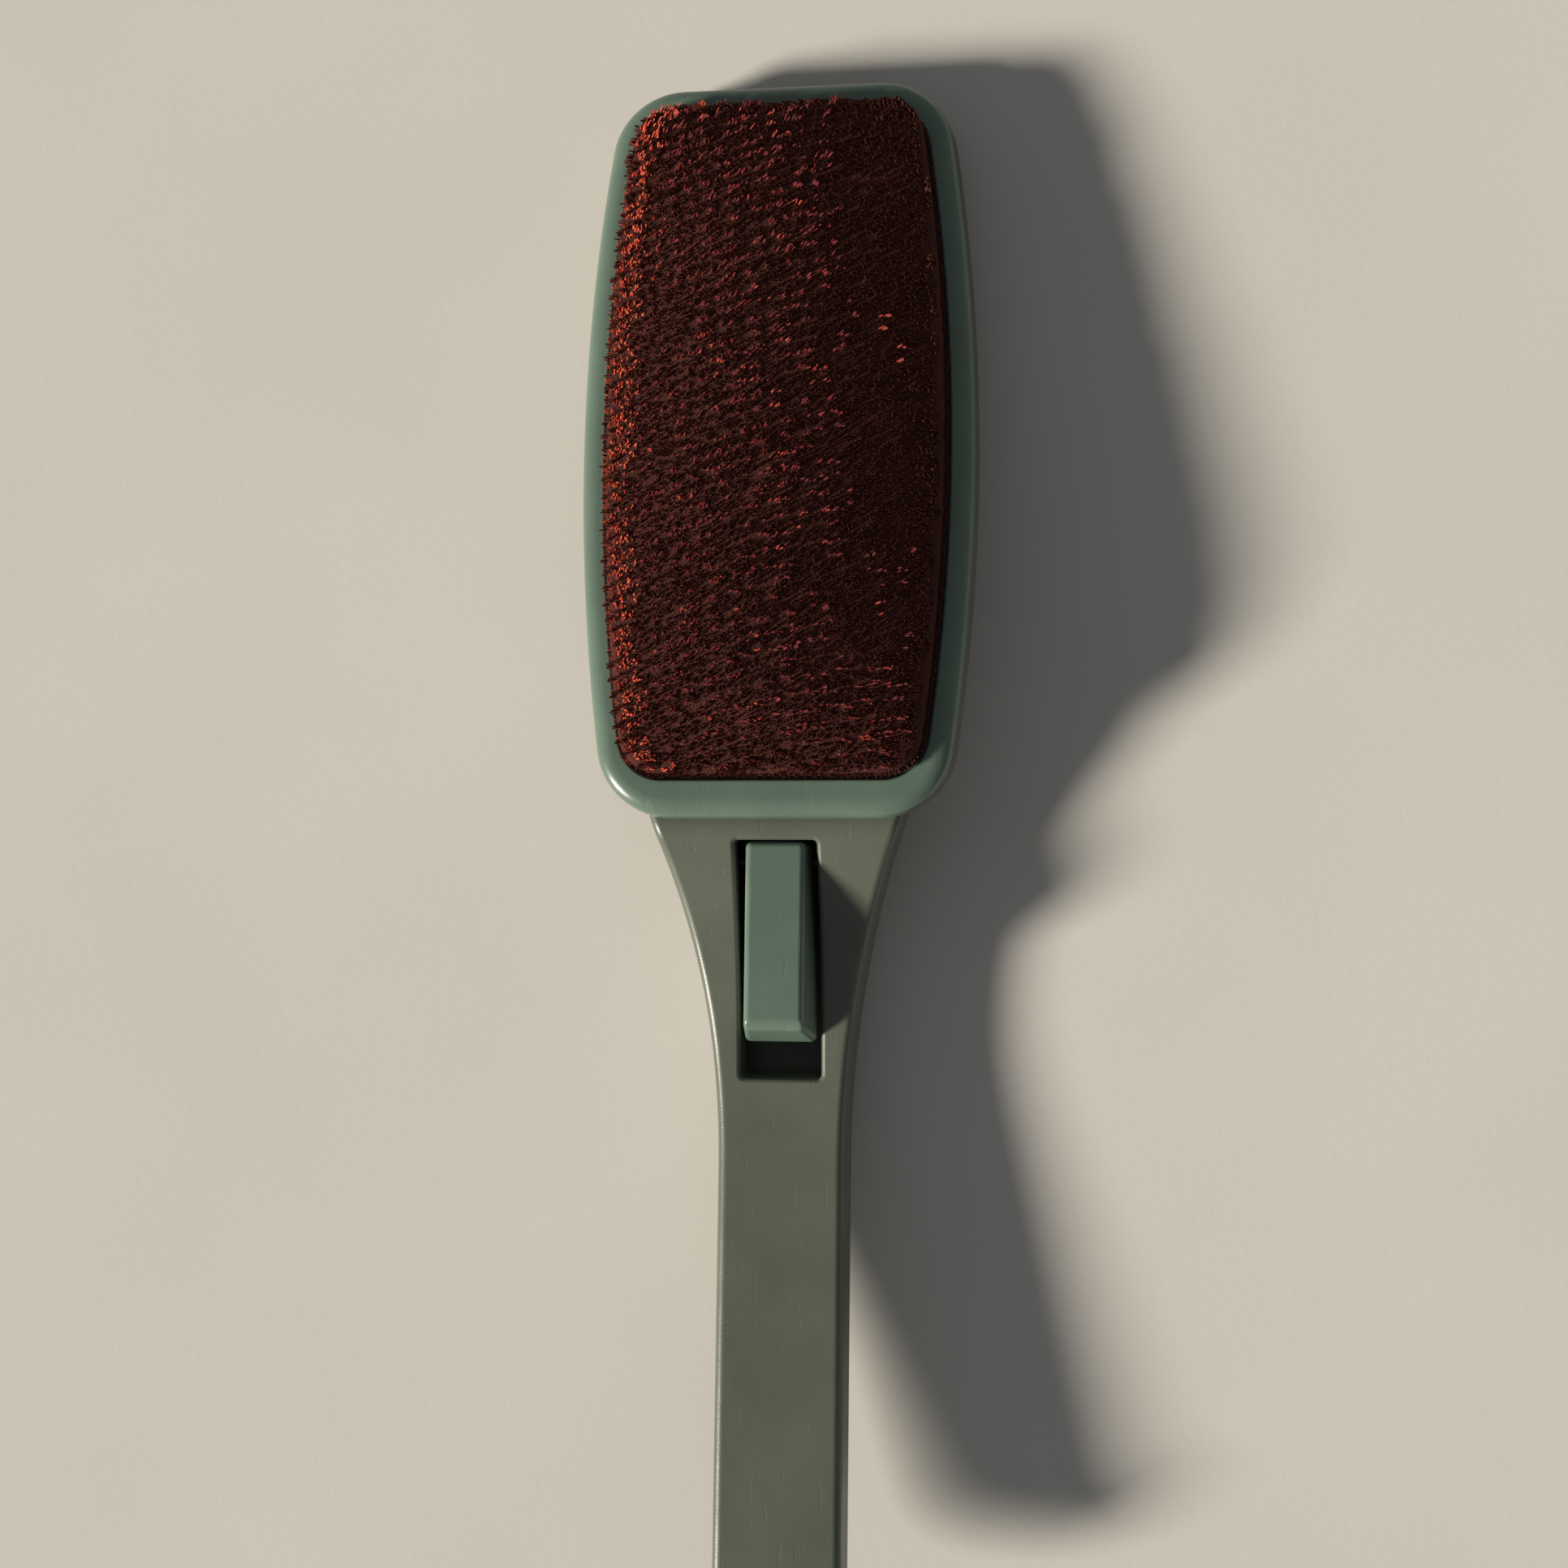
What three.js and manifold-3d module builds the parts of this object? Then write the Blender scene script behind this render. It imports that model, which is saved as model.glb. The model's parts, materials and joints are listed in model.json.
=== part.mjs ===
// A hand-held lint brush: a domed pile pad that swivels on the end of a moulded handle, with a thumb lever
// in the neck that draws back the latch of the swivel.
//
// Millimetres. +Y points to the tip, +X to the right seen from above, +Z up. The brush lies as it does on a
// table, on the edge under its tip and on the belly of its grip. The origin is on the table under the middle
// of its length. A station is a distance from the tip, along -Y.
import * as THREE from "three";
import { mergeVertices } from "three/addons/utils/BufferGeometryUtils.js";
import Module from "manifold-3d";

const wasm = await Module();
wasm.setup();

const degree = Math.PI / 180;
const quarterTurn = Math.PI / 2;

// Shared clearances and walls
const fit = 0.3;
const overrun = 6;
const wall = 1.9;
const floorThickness = 1.6;

// Head outline, seen along the swivel axis
const headLength = 117;
const headWidth = 61;
const headSideRadius = 342;
const headCornerRadius = 11.5;

// Head section, from the rim's top plane down
const rimEdgeRadius = 1.9;
const rimEndBand = 5.5;
const rimSideBand = 3.8;
const rimWall = 1.7;
const openingCornerRadius = 6.8;
const lipThickness = 1.2;
const padPlateThickness = 0.8;
const padPlateFlange = 1.2;
const headBaseThickness = 1.8;

// Pad dome and its pile
const clothGap = 0.6;
const clothThickness = 0.9;
const padEdgeHeight = 1.1;
const padCrown = 5;
const padEndPower = 6;
const strandLength = 2.5;
const strandRootRadius = 0.6;
const strandSink = 0.7;
const strandLean = 38 * degree;
const strandDroop = 12 * degree;
const strandRowPitch = 3.6;
const strandColumnPitch = 3.9;
const strandRowSlant = 12 * degree;
const strandEdgeMargin = 1.3;

// Swivel
const headTilt = 8.2 * degree;
const headTipMargin = 0.35;
const swivelGap = 0.4;
const hubRadius = 8;
const hubReach = 1.5;
const washerWidth = 6.2;
const washerThickness = 0.5;
const discRadius = 15;
const discThickness = 1;
const notchWidth = 3.8;
const notchDepth = 1.4;
const swivelScrewRadius = 1.3;
const swivelScrewHeadRadius = 3.2;
const swivelScrewHeadHeight = 1.4;
const swivelScrewGrip = 5.2;
const accessHoleMargin = 1;

// Carrier tray under the head
const trayTipThickness = 5.15;
const trayMargin = 0.6;
const trayUndersideTilt = 6.1 * degree;

// Whole handle, its plan and its side profile; runs are counted from the front of the lever slot
const bodyLength = 252;
const gripWidth = 20.9;
const neckArcRadius = 160;
const neckArcRun = 51;
const endCornerRadius = 6;
const dipRun = 34;
const dipDrop = 7.34;
const dipFrontRadius = 85;
const dipRearRadius = 180;
const gripRise = 7.5 * degree;
const bellyRun = 26;
const bellyFrontRadius = 45;
const bellyRearRadius = 40;
const undersideRise = 9.8 * degree;
const crestBlend = 0.9;
const archBlend = 3;
const flickLength = 13;
const flickRadius = 22;
const topEdgeRadius = 1.5;
const undersideEdgeRadius = 3.6;
const sideDraft = 0.5;
const seamShare = 0.45;
const undersideEdgeShare = 0.7;

// Lever slot, in the top of the neck
const slotMargin = 3.5;
const slotLength = 37.6;
const slotWidth = 12.7;
const slotWall = 1.5;

// Thumb lever, measured from its pin
const pinRadius = 1.1;
const pinClearance = 0.25;
const pinSetback = 3.4;
const pinDepth = 5.7;
const leverHubRadius = 2.4;
const leverFrontGap = 0.3;
const leverFrontHeight = 6.6;
const leverTopLength = 28.1;
const leverTopSlope = 7.3 * degree;
const leverEndSlope = 18 * degree;
const leverTailDepth = 1;
const leverTopWidth = 9;
const leverBaseWidth = 11.4;
const leverWall = 1.2;
const leverTopWall = 1.4;
const leverEdgeRadius = 0.9;
const leverSwing = 17 * degree;
const leverRibThickness = 1;
const leverRibOffset = 0.5;
const leverRibWidth = 3;

// Latch slider and its spring, in the plane of the index disc
const sliderWidth = 6;
const noseWidth = 3;
const noseLength = 6;
const sliderRearBar = 1.3;
const sliderWindowPlay = 1;
const guideThickness = 1.2;
const guideStartMargin = 6;
const springLength = 9.4;
const springTurns = 7;
const springOuterRadius = 1.6;
const springWireRadius = 0.25;
const springPostThickness = 1.5;
const springWindowMargin = 0.4;
const restThickness = 1.6;
const frontRestInset = 8;
const rearRestInset = 5;

// Fasteners
const screwShankRadius = 1.1;
const screwHeadRadius = 2.4;
const screwHeadHeight = 1.3;
const screwBossRadius = 3.1;
const screwWeb = 0.9;
const screwLength = 3.2;
const screwPointLength = 0.8;
const recessWidth = 0.6;
const recessDepth = 0.7;
const trayScrewInset = 11.5;
const trayScrewMargin = 22;
const gripScrewRun = 56;
const gripScrewEndMargin = 16;
const rimScrewInset = 1.6;
const rimBossRadius = 1.8;
const rimScrewShankRadius = 0.7;
const rimScrewHeadRadius = 1.4;
const rimScrewHeadHeight = 0.7;
const rimScrewReach = 1.9;

// Counts of facets
const roundSides = 24;
const smallRoundSides = 8;
const edgeSteps = 3;
const cornerSteps = 4;
const sideSteps = 6;
const domeEndPieces = 4;
const innerDomeEndPieces = 3;
const springSteps = 8;
const springSides = 5;
const strandSides = 3;

// Levels in the head's own frame, zero at the rim's top plane
const lipUnder = -lipThickness;
const padPlateTop = lipUnder - fit;
const padPlateUnder = padPlateTop - padPlateThickness;
const baseTop = padPlateUnder - fit;
const baseUnder = baseTop - headBaseThickness;
const deckTop = baseUnder - swivelGap;
const deckUnder = deckTop - wall * Math.cos(headTilt);
const washerTop = baseUnder - fit;
const washerUnder = washerTop - washerThickness;
const hubEnd = deckUnder - hubReach;
const discTop = hubEnd - fit;
const discUnder = discTop - discThickness;
const swivelScrewHeadTop = discUnder - fit;
const swivelScrewHeadUnder = swivelScrewHeadTop - swivelScrewHeadHeight;

// Places that follow from the sizes above
const headStation = (headLength / 2) * Math.cos(headTilt) + headTipMargin;
const trayLength = 2 * headStation;
const rimAtTip = trayTipThickness - deckTop / Math.cos(headTilt);
const headHeight = rimAtTip + headStation * Math.tan(headTilt);
const slotStation = trayLength + slotMargin;
const slotEnd = slotStation + slotLength;
const pinStation = slotStation + pinSetback;
const bellyStation = slotStation + bellyRun;
const dipStation = slotStation + dipRun;
const neckArcStation = slotStation + neckArcRun;
const dipHeight = trayTipThickness + trayLength * Math.tan(headTilt) - dipDrop;
const gripHalf = gripWidth / 2;
const trayHalfWidth = headWidth / 2 + trayMargin;
const ribFront = leverRibOffset + leverRibThickness;

function alongY(station) {
  return bodyLength / 2 - station;
}

/** Where a station lies along the head's own Y at a level of the head's own Z. */
function alongHead(station, level) {
  return (headStation - station) / Math.cos(headTilt) - level * Math.tan(headTilt);
}

// Solids

/** A closed geometry, whose faces already look outward, as a solid. */
function solidOf(geometry) {
  const bare = geometry.clone();
  bare.deleteAttribute("normal");
  bare.deleteAttribute("uv");
  const merged = mergeVertices(bare);
  const vertProperties = new Float32Array(merged.attributes.position.array);
  const triVerts = new Uint32Array(merged.index.array);
  return new wasm.Manifold(new wasm.Mesh({ numProp: 3, vertProperties, triVerts }));
}

function geometryOf(solid) {
  const mesh = solid.getMesh();
  const geometry = new THREE.BufferGeometry();
  geometry.setAttribute("position", new THREE.BufferAttribute(mesh.vertProperties, mesh.numProp));
  geometry.setIndex(new THREE.BufferAttribute(mesh.triVerts, 1));
  geometry.computeVertexNormals();
  return geometry;
}

/** A solid through rings of equal count, each convex, which turn left seen from where the loft ends. */
function loft(rings) {
  const count = rings[0].length;
  const index = [];
  for (let ring = 0; ring + 1 < rings.length; ring++) {
    for (let i = 0; i < count; i++) {
      const a = ring * count + i;
      const b = ring * count + ((i + 1) % count);
      index.push(a, b, b + count, a, b + count, a + count);
    }
  }
  const last = (rings.length - 1) * count;
  for (let i = 1; i + 1 < count; i++) {
    index.push(0, i + 1, i);
    index.push(last, last + i, last + i + 1);
  }
  const geometry = new THREE.BufferGeometry().setFromPoints(rings.flat());
  geometry.setIndex(index);
  return solidOf(geometry);
}

function box(lowX, highX, lowY, highY, lowZ, highZ) {
  const geometry = new THREE.BoxGeometry(highX - lowX, highY - lowY, highZ - lowZ);
  geometry.translate((lowX + highX) / 2, (lowY + highY) / 2, (lowZ + highZ) / 2);
  return geometry;
}

/** An upright round bar. */
function bar(radius, low, high, x = 0, y = 0, sides = roundSides) {
  const geometry = new THREE.CylinderGeometry(radius, radius, high - low, sides);
  geometry.rotateX(quarterTurn);
  return geometry.translate(x, y, (low + high) / 2);
}

/** A round bar across the brush, along X. */
function crossBar(radius, length, sides = roundSides) {
  return new THREE.CylinderGeometry(radius, radius, length, sides).rotateZ(quarterTurn);
}

/** A solid of revolution about Z, from a profile of [radius, height] pairs. */
function turned(profile, sides = roundSides) {
  const points = profile.map(([radius, height]) => new THREE.Vector2(radius, height));
  return new THREE.LatheGeometry(points, sides).rotateX(quarterTurn);
}

/** A profile of [station, height] points, extruded across the brush and centred on X = 0. */
function sideExtrusion(profile, width) {
  const shape = new THREE.Shape(profile.map(([station, height]) => new THREE.Vector2(station, height)));
  const geometry = new THREE.ExtrudeGeometry(shape, { depth: width, bevelEnabled: false });
  geometry.translate(0, 0, -width / 2);
  const across = new THREE.Vector3(-1, 0, 0);
  const back = new THREE.Vector3(0, -1, 0);
  const up = new THREE.Vector3(0, 0, 1);
  return geometry.applyMatrix4(new THREE.Matrix4().makeBasis(back, up, across));
}

/** The head's frame: origin on the swivel axis in the rim's top plane, Z along the axis. */
const headFrame = new THREE.Matrix4()
  .makeRotationX(-headTilt)
  .setPosition(0, alongY(headStation), headHeight);

function inHeadFrame(geometry) {
  return solidOf(geometry.clone().applyMatrix4(headFrame));
}

// Outlines

/**
 * A barrel outline: bulging sides, flat ends and round corners, as a counter-clockwise list of points.
 * The inset moves every edge inward alike.
 */
function barrel(halfLength, halfWidth, sideRadius, cornerRadius, inset = 0) {
  const sideCentre = halfWidth - sideRadius;
  const cornerY = halfLength - cornerRadius;
  const reach = sideRadius - cornerRadius;
  const cornerX = sideCentre + Math.sqrt(reach * reach - cornerY * cornerY);
  const lean = Math.atan2(cornerY, cornerX - sideCentre);
  return {
    sideCentre,
    cornerX,
    cornerY,
    lean,
    sideRadius: sideRadius - inset,
    cornerRadius: cornerRadius - inset,
  };
}

function barrelPoints(outline, endPieces = 1) {
  const { sideCentre, cornerX, cornerY, lean, sideRadius, cornerRadius } = outline;
  const quarter = [];
  for (let i = 0; i < sideSteps / 2; i++) {
    const angle = (lean * i * 2) / sideSteps;
    quarter.push([sideCentre + sideRadius * Math.cos(angle), sideRadius * Math.sin(angle)]);
  }
  for (let i = 0; i <= cornerSteps; i++) {
    const angle = lean + ((quarterTurn - lean) * i) / cornerSteps;
    quarter.push([cornerX + cornerRadius * Math.cos(angle), cornerY + cornerRadius * Math.sin(angle)]);
  }
  const lower = quarter.slice(1).map(([x, y]) => [x, -y]);
  const rightSide = [...lower.reverse(), ...quarter];
  const endRow = [];
  for (let i = 1; i < endPieces; i++) {
    endRow.push([cornerX * (1 - (2 * i) / endPieces), cornerY + cornerRadius]);
  }
  const half = [...rightSide, ...endRow];
  const otherHalf = half.map(([x, y]) => [-x, -y]);
  return [...half, ...otherHalf].map(([x, y]) => new THREE.Vector2(x, y));
}

/** Half the width of a barrel outline at a distance from its middle. */
function barrelHalfWidth(outline, y) {
  const { sideCentre, cornerX, cornerY, lean, sideRadius, cornerRadius } = outline;
  const away = Math.abs(y);
  if (away <= sideRadius * Math.sin(lean)) return sideCentre + Math.sqrt(sideRadius ** 2 - away ** 2);
  const beyond = Math.min(away - cornerY, cornerRadius);
  return cornerX + Math.sqrt(cornerRadius ** 2 - beyond ** 2);
}

function headOutline(inset = 0) {
  return barrel(headLength / 2, headWidth / 2, headSideRadius, headCornerRadius, inset);
}

function openingOutline(inset = 0) {
  const halfLength = headLength / 2 - rimEndBand;
  const halfWidth = headWidth / 2 - rimSideBand;
  return barrel(halfLength, halfWidth, headSideRadius - rimSideBand, openingCornerRadius, inset);
}

/** A plate between two levels with the given outline. */
function plate(outline, low, high) {
  const shape = new THREE.Shape(barrelPoints(outline));
  const geometry = new THREE.ExtrudeGeometry(shape, { depth: high - low, bevelEnabled: false });
  return geometry.translate(0, 0, low);
}

function ringAt(outline, height, endPieces = 1) {
  return barrelPoints(outline, endPieces).map((point) => new THREE.Vector3(point.x, point.y, height));
}

// Handle form: heights and widths at a station

/** How far an arc of the given radius has left its tangent, after a run along that tangent. */
function arcRise(radius, run) {
  const within = Math.min(Math.abs(run), radius);
  return radius - Math.sqrt(radius * radius - within * within);
}

/** An arc that goes over into a straight slope. */
function arcThenSlope(radius, slope, run) {
  const arcRun = radius * Math.sin(slope);
  if (run <= arcRun) return arcRise(radius, run);
  return arcRise(radius, arcRun) + (run - arcRun) * Math.tan(slope);
}

function smoothLower(a, b, blend) {
  const nearness = Math.max(blend - Math.abs(a - b), 0) / blend;
  return Math.min(a, b) - (nearness * nearness * blend) / 4;
}

function flick(station) {
  return arcRise(flickRadius, Math.max(station - (bodyLength - flickLength), 0));
}

function topHeight(station) {
  const deck = trayTipThickness + station * Math.tan(headTilt);
  if (station >= dipStation) {
    return dipHeight + arcThenSlope(dipRearRadius, gripRise, station - dipStation) + flick(station);
  }
  return smoothLower(deck, dipHeight + arcRise(dipFrontRadius, dipStation - station), crestBlend);
}

function underHeight(station) {
  const tray = station * Math.tan(trayUndersideTilt);
  if (station >= bellyStation) {
    return arcThenSlope(bellyRearRadius, undersideRise, station - bellyStation) + flick(station);
  }
  return smoothLower(tray, arcRise(bellyFrontRadius, bellyStation - station), archBlend);
}

function seamHeight(station) {
  return underHeight(station) + seamShare * (topHeight(station) - underHeight(station));
}

function trayOutline(inset) {
  return barrel(headStation, trayHalfWidth, headSideRadius + trayMargin, headCornerRadius, inset);
}

function halfWidth(station, inset = 0) {
  const fromEnd = Math.max(station - (bodyLength - endCornerRadius), 0);
  const cornerRadius = endCornerRadius - inset;
  const cornerLoss = arcRise(cornerRadius, fromEnd);
  const neck = gripHalf - inset - cornerLoss + arcRise(neckArcRadius, Math.max(neckArcStation - station, 0));
  if (station >= trayLength - inset) return neck;
  const tray = barrelHalfWidth(trayOutline(inset), station - headStation);
  return station > trayLength - headCornerRadius ? Math.max(tray, neck) : tray;
}

function spread(from, to, count) {
  return Array.from({ length: count }, (_, i) => from + ((to - from) * i) / count);
}

/** The angles of a quarter turn in equal steps, without its end. */
function quarterAngles(steps) {
  return spread(0, quarterTurn, steps);
}

/** Stations where the body is sectioned, close together where its form turns. */
function bodyStations(inset) {
  const cornerRun = headCornerRadius - inset;
  const cornerShares = quarterAngles(cornerSteps).map((angle) => 1 - Math.cos(angle));
  const endRun = endCornerRadius - inset;
  const endShares = [...quarterAngles(cornerSteps), quarterTurn].map((angle) => Math.sin(angle));
  return [
    ...cornerShares.map((share) => inset + share * cornerRun),
    ...spread(headCornerRadius, trayLength - headCornerRadius, sideSteps),
    ...spread(trayLength - headCornerRadius, trayLength - inset, cornerSteps),
    ...spread(trayLength - inset, pinStation, cornerSteps),
    ...spread(pinStation, bellyStation, sideSteps),
    ...spread(bellyStation, dipStation, edgeSteps),
    ...spread(dipStation, neckArcStation, edgeSteps),
    ...spread(neckArcStation, bodyLength - flickLength, sideSteps),
    ...spread(bodyLength - flickLength, bodyLength - endCornerRadius, edgeSteps),
    ...endShares.map((share) => bodyLength - endCornerRadius + endRun * share),
  ];
}

function sectionRing(station, points) {
  return points.map(([x, z]) => new THREE.Vector3(x, alongY(station), z));
}

/** The outer section of the top shell: open seam below, drafted sides, rounded upper edges. */
function topSection(station) {
  const half = halfWidth(station);
  const low = seamHeight(station) + fit / 2;
  const high = topHeight(station);
  const right = [];
  for (let i = 0; i <= edgeSteps; i++) {
    const angle = (quarterTurn * i) / edgeSteps;
    const x = half - sideDraft - topEdgeRadius * (1 - Math.cos(angle));
    right.push([x, high - topEdgeRadius * (1 - Math.sin(angle))]);
  }
  const left = right.map(([x, z]) => [-x, z]).reverse();
  return sectionRing(station, [[-half, low], [half, low], ...right, ...left]);
}

function topCavitySection(station) {
  const half = halfWidth(station, wall);
  const low = underHeight(station) - overrun;
  const high = topHeight(station) - wall;
  const upper = half - sideDraft;
  return sectionRing(station, [[-half, low], [half, low], [upper, high], [-upper, high]]);
}

/** The outer section of the bottom shell: seam above, well rounded lower edges. */
function bottomSection(station) {
  const half = halfWidth(station);
  const low = underHeight(station);
  const high = seamHeight(station) - fit / 2;
  const radius = Math.min(undersideEdgeRadius, undersideEdgeShare * (high - low));
  const right = [];
  for (let i = 0; i <= edgeSteps; i++) {
    const angle = (quarterTurn * i) / edgeSteps;
    right.push([half - radius * (1 - Math.sin(angle)), low + radius * (1 - Math.cos(angle))]);
  }
  const left = right.map(([x, z]) => [-x, z]).reverse();
  return sectionRing(station, [...left, ...right, [half, high], [-half, high]]);
}

function bottomCavitySection(station) {
  const half = halfWidth(station, wall);
  const low = underHeight(station) + floorThickness;
  const high = topHeight(station) + overrun;
  return sectionRing(station, [[-half, low], [half, low], [half, high], [-half, high]]);
}

// Fasteners

// The places of the shell screws
const traySide = headWidth / 2 - trayScrewInset;
const trayScrews = [trayScrewMargin, trayLength - trayScrewMargin].flatMap((station) =>
  [-traySide, traySide].map((x) => ({ station, x })),
);
const gripScrewStations = [slotStation + gripScrewRun, bodyLength - gripScrewEndMargin];
const gripScrews = gripScrewStations.map((station) => ({ station, x: 0 }));
const shellScrews = [...trayScrews, ...gripScrews];

/** The underside of a shell screw's head, which bears on a web just below the seam. */
function screwHeadLevel(station) {
  return seamHeight(station) - fit / 2 - screwWeb - fit - screwHeadHeight;
}

/** A cross-recessed screw pointing up from the underside of its head. */
function screw(headRadius, headHeight, shankRadius, length) {
  const point = Math.min(screwPointLength, length / 2);
  const profile = [
    [0, 0],
    [headRadius, 0],
    [headRadius, headHeight],
    [shankRadius, headHeight],
    [shankRadius, headHeight + length - point],
    [0, headHeight + length],
  ];
  const arm = headRadius / 2;
  const depth = Math.min(recessDepth, headHeight / 2);
  const half = recessWidth / 2;
  return solidOf(turned(profile, smallRoundSides))
    .subtract(solidOf(box(-arm, arm, -half, half, -overrun, depth)))
    .subtract(solidOf(box(-half, half, -arm, arm, -overrun, depth)));
}

// Handle

function topBoss({ station, x }) {
  return solidOf(
    bar(screwBossRadius, seamHeight(station) + fit / 2, topHeight(station) - wall / 2, x, alongY(station)),
  );
}

function handleTopShell() {
  const outer = loft(bodyStations(0).map(topSection));
  let shell = outer.subtract(loft(bodyStations(wall).map(topCavitySection)));

  // Walls round the lever slot, down to the seam
  const slotHalf = slotWidth / 2;
  const wallHalf = slotHalf + slotWall;
  const front = alongY(slotStation);
  const rear = alongY(slotEnd);
  const high = topHeight(slotStation) + overrun;
  const slotBlock = solidOf(box(-wallHalf, wallHalf, rear - slotWall, front + slotWall, 0, high));
  shell = shell.add(outer.intersect(slotBlock));
  shell = shell.subtract(solidOf(box(-slotHalf, slotHalf, rear, front, -overrun, high)));
  const pinHole = crossBar(pinRadius + pinClearance, slotWidth + 2 * slotWall + overrun, smallRoundSides);
  shell = shell.subtract(solidOf(pinHole.translate(0, alongY(pinStation), pinHeight)));

  // Guides of the latch slider and the post behind its spring
  const guideInner = sliderWidth / 2 + fit;
  const guideHigh = deckUnder + wall / 2;
  const guideStart = -(discRadius + guideStartMargin);
  const guideEnd = alongHead(slotStation - slotWall - fit, springMiddle);
  for (const side of [-1, 1]) {
    const edges = [side * guideInner, side * (guideInner + guideThickness)].sort((a, b) => a - b);
    const guide = box(edges[0], edges[1], guideEnd, guideStart, discUnder, guideHigh);
    shell = shell.add(inHeadFrame(guide));
  }
  const postHalf = springWindowHalf - fit;
  const post = box(-postHalf, postHalf, springPostRear, springPostFront, springUnder, guideHigh);
  shell = shell.add(inHeadFrame(post));
  const gateRear = sliderRear - overrun;
  const gate = box(-guideInner, guideInner, gateRear, guideEnd + fit, discUnder - fit, discTop + fit);
  shell = shell.subtract(inHeadFrame(gate));

  // Swivel hole, recess of the thrust washer and screw bosses
  shell = shell.subtract(inHeadFrame(bar(hubRadius + fit, deckUnder - overrun, overrun)));
  const recessRadius = hubRadius + fit + washerWidth + 2 * fit;
  shell = shell.subtract(inHeadFrame(bar(recessRadius, washerUnder - fit, overrun)));
  for (const place of shellScrews) {
    const { station, x } = place;
    const top = screwHeadLevel(station) + screwHeadHeight + screwLength + fit;
    const low = underHeight(station);
    const hole = bar(screwShankRadius + fit, low, top, x, alongY(station), smallRoundSides);
    shell = shell.add(topBoss(place)).subtract(solidOf(hole));
  }
  return shell;
}

/** A section of the space between the middles of the bottom shell's walls, above the middle of its floor. */
function bottomInteriorSection(station) {
  const half = halfWidth(station, wall / 2);
  const low = underHeight(station) + floorThickness / 2;
  const high = topHeight(station) + overrun;
  return sectionRing(station, [[-half, low], [half, low], [half, high], [-half, high]]);
}

function handleBottomShell() {
  let shell = loft(bodyStations(0).map(bottomSection));
  shell = shell.subtract(loft(bodyStations(wall).map(bottomCavitySection)));

  // Cross ribs that carry the slider
  const interior = loft(bodyStations(wall / 2).map(bottomInteriorSection));
  const restHalf = sliderWidth / 2 + fit + guideThickness;
  const restHigh = discUnder - fit;
  for (const y of [guideRestFront, guideRestRear]) {
    const rest = box(-restHalf, restHalf, y - restThickness, y, restHigh - headHeight, restHigh);
    shell = shell.add(inHeadFrame(rest).intersect(interior));
  }

  // Screw bosses, their counterbores and the access hole under the swivel screw
  for (const { station, x } of shellScrews) {
    const y = alongY(station);
    const seam = seamHeight(station) - fit / 2;
    const boss = solidOf(bar(screwBossRadius, 0, seam, x, y));
    const headTop = screwHeadLevel(station) + screwHeadHeight + fit;
    const sink = bar(screwHeadRadius + fit, -overrun, headTop, x, y);
    const hole = bar(screwShankRadius + fit, -overrun, seam + overrun, x, y, smallRoundSides);
    shell = shell.add(boss.intersect(interior));
    shell = shell.subtract(solidOf(sink)).subtract(solidOf(hole));
  }
  const access = bar(swivelScrewHeadRadius + accessHoleMargin, swivelScrewHeadUnder - 2 * overrun, hubEnd);
  shell = shell.subtract(inHeadFrame(access));
  return shell;
}

// Thumb lever, in a frame with its origin on the pin

const pinHeight = topHeight(pinStation) - pinDepth;
const leverFront = pinSetback - leverFrontGap;
const leverTopEnd = leverTopLength - leverFront;
const leverTailHeight = leverFrontHeight + leverTopLength * Math.tan(leverTopSlope);
const leverTailFoot = leverTopEnd + (leverTailHeight + leverTailDepth) * Math.tan(leverEndSlope);

/** The lever's side profile, grown inward by an inset for its hollow. */
function leverProfile(sideInset, topInset) {
  const front = -leverFront + sideInset;
  const topFront = leverFrontHeight - topInset;
  const topEnd = leverTailHeight - topInset;
  const cornerCut = Math.max(leverEdgeRadius - sideInset, 0);
  return [
    [front, topFront - cornerCut],
    [-leverHubRadius + sideInset, 0],
    [-leverHubRadius + sideInset, -leverHubRadius - (sideInset > 0 ? overrun : 0)],
    [leverTailFoot - sideInset, -leverTailDepth - (sideInset > 0 ? overrun : 0)],
    [leverTailFoot - sideInset, -leverTailDepth],
    [leverTopEnd - sideInset + cornerCut * Math.tan(leverEndSlope), topEnd - cornerCut],
    [leverTopEnd - sideInset - cornerCut, topEnd],
    [front + cornerCut, topFront],
  ];
}

/** The lever's cross-section, drawn along its top: narrower above than below, with rounded upper edges. */
function leverCrossSection(inset) {
  const topHalf = leverTopWidth / 2 - inset;
  const baseHalf = leverBaseWidth / 2 - inset;
  const low = -leverTailHeight - overrun;
  const draft = (baseHalf - topHalf) / (leverFrontHeight + leverHubRadius);
  const lowHalf = topHalf + draft * -low;
  const radius = Math.max(leverEdgeRadius - inset, 0);
  const right = [];
  for (let i = 0; i <= edgeSteps; i++) {
    const angle = (quarterTurn * i) / edgeSteps;
    right.push([topHalf - radius * (1 - Math.cos(angle)), -radius * (1 - Math.sin(angle))]);
  }
  const left = right.map(([x, z]) => [-x, z]).reverse();
  return [[-lowHalf, low], [lowHalf, low], ...right, ...left];
}

function leverPrism(inset, topInset) {
  const shape = new THREE.Shape(leverCrossSection(inset).map(([x, z]) => new THREE.Vector2(x, z)));
  const length = leverTailFoot + leverFront + 2 * overrun;
  const geometry = new THREE.ExtrudeGeometry(shape, { depth: length, bevelEnabled: false });
  geometry.rotateX(quarterTurn);
  geometry.translate(0, overrun, -topInset);
  geometry.rotateX(-leverTopSlope);
  return geometry.translate(0, leverFront, leverFrontHeight);
}

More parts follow.
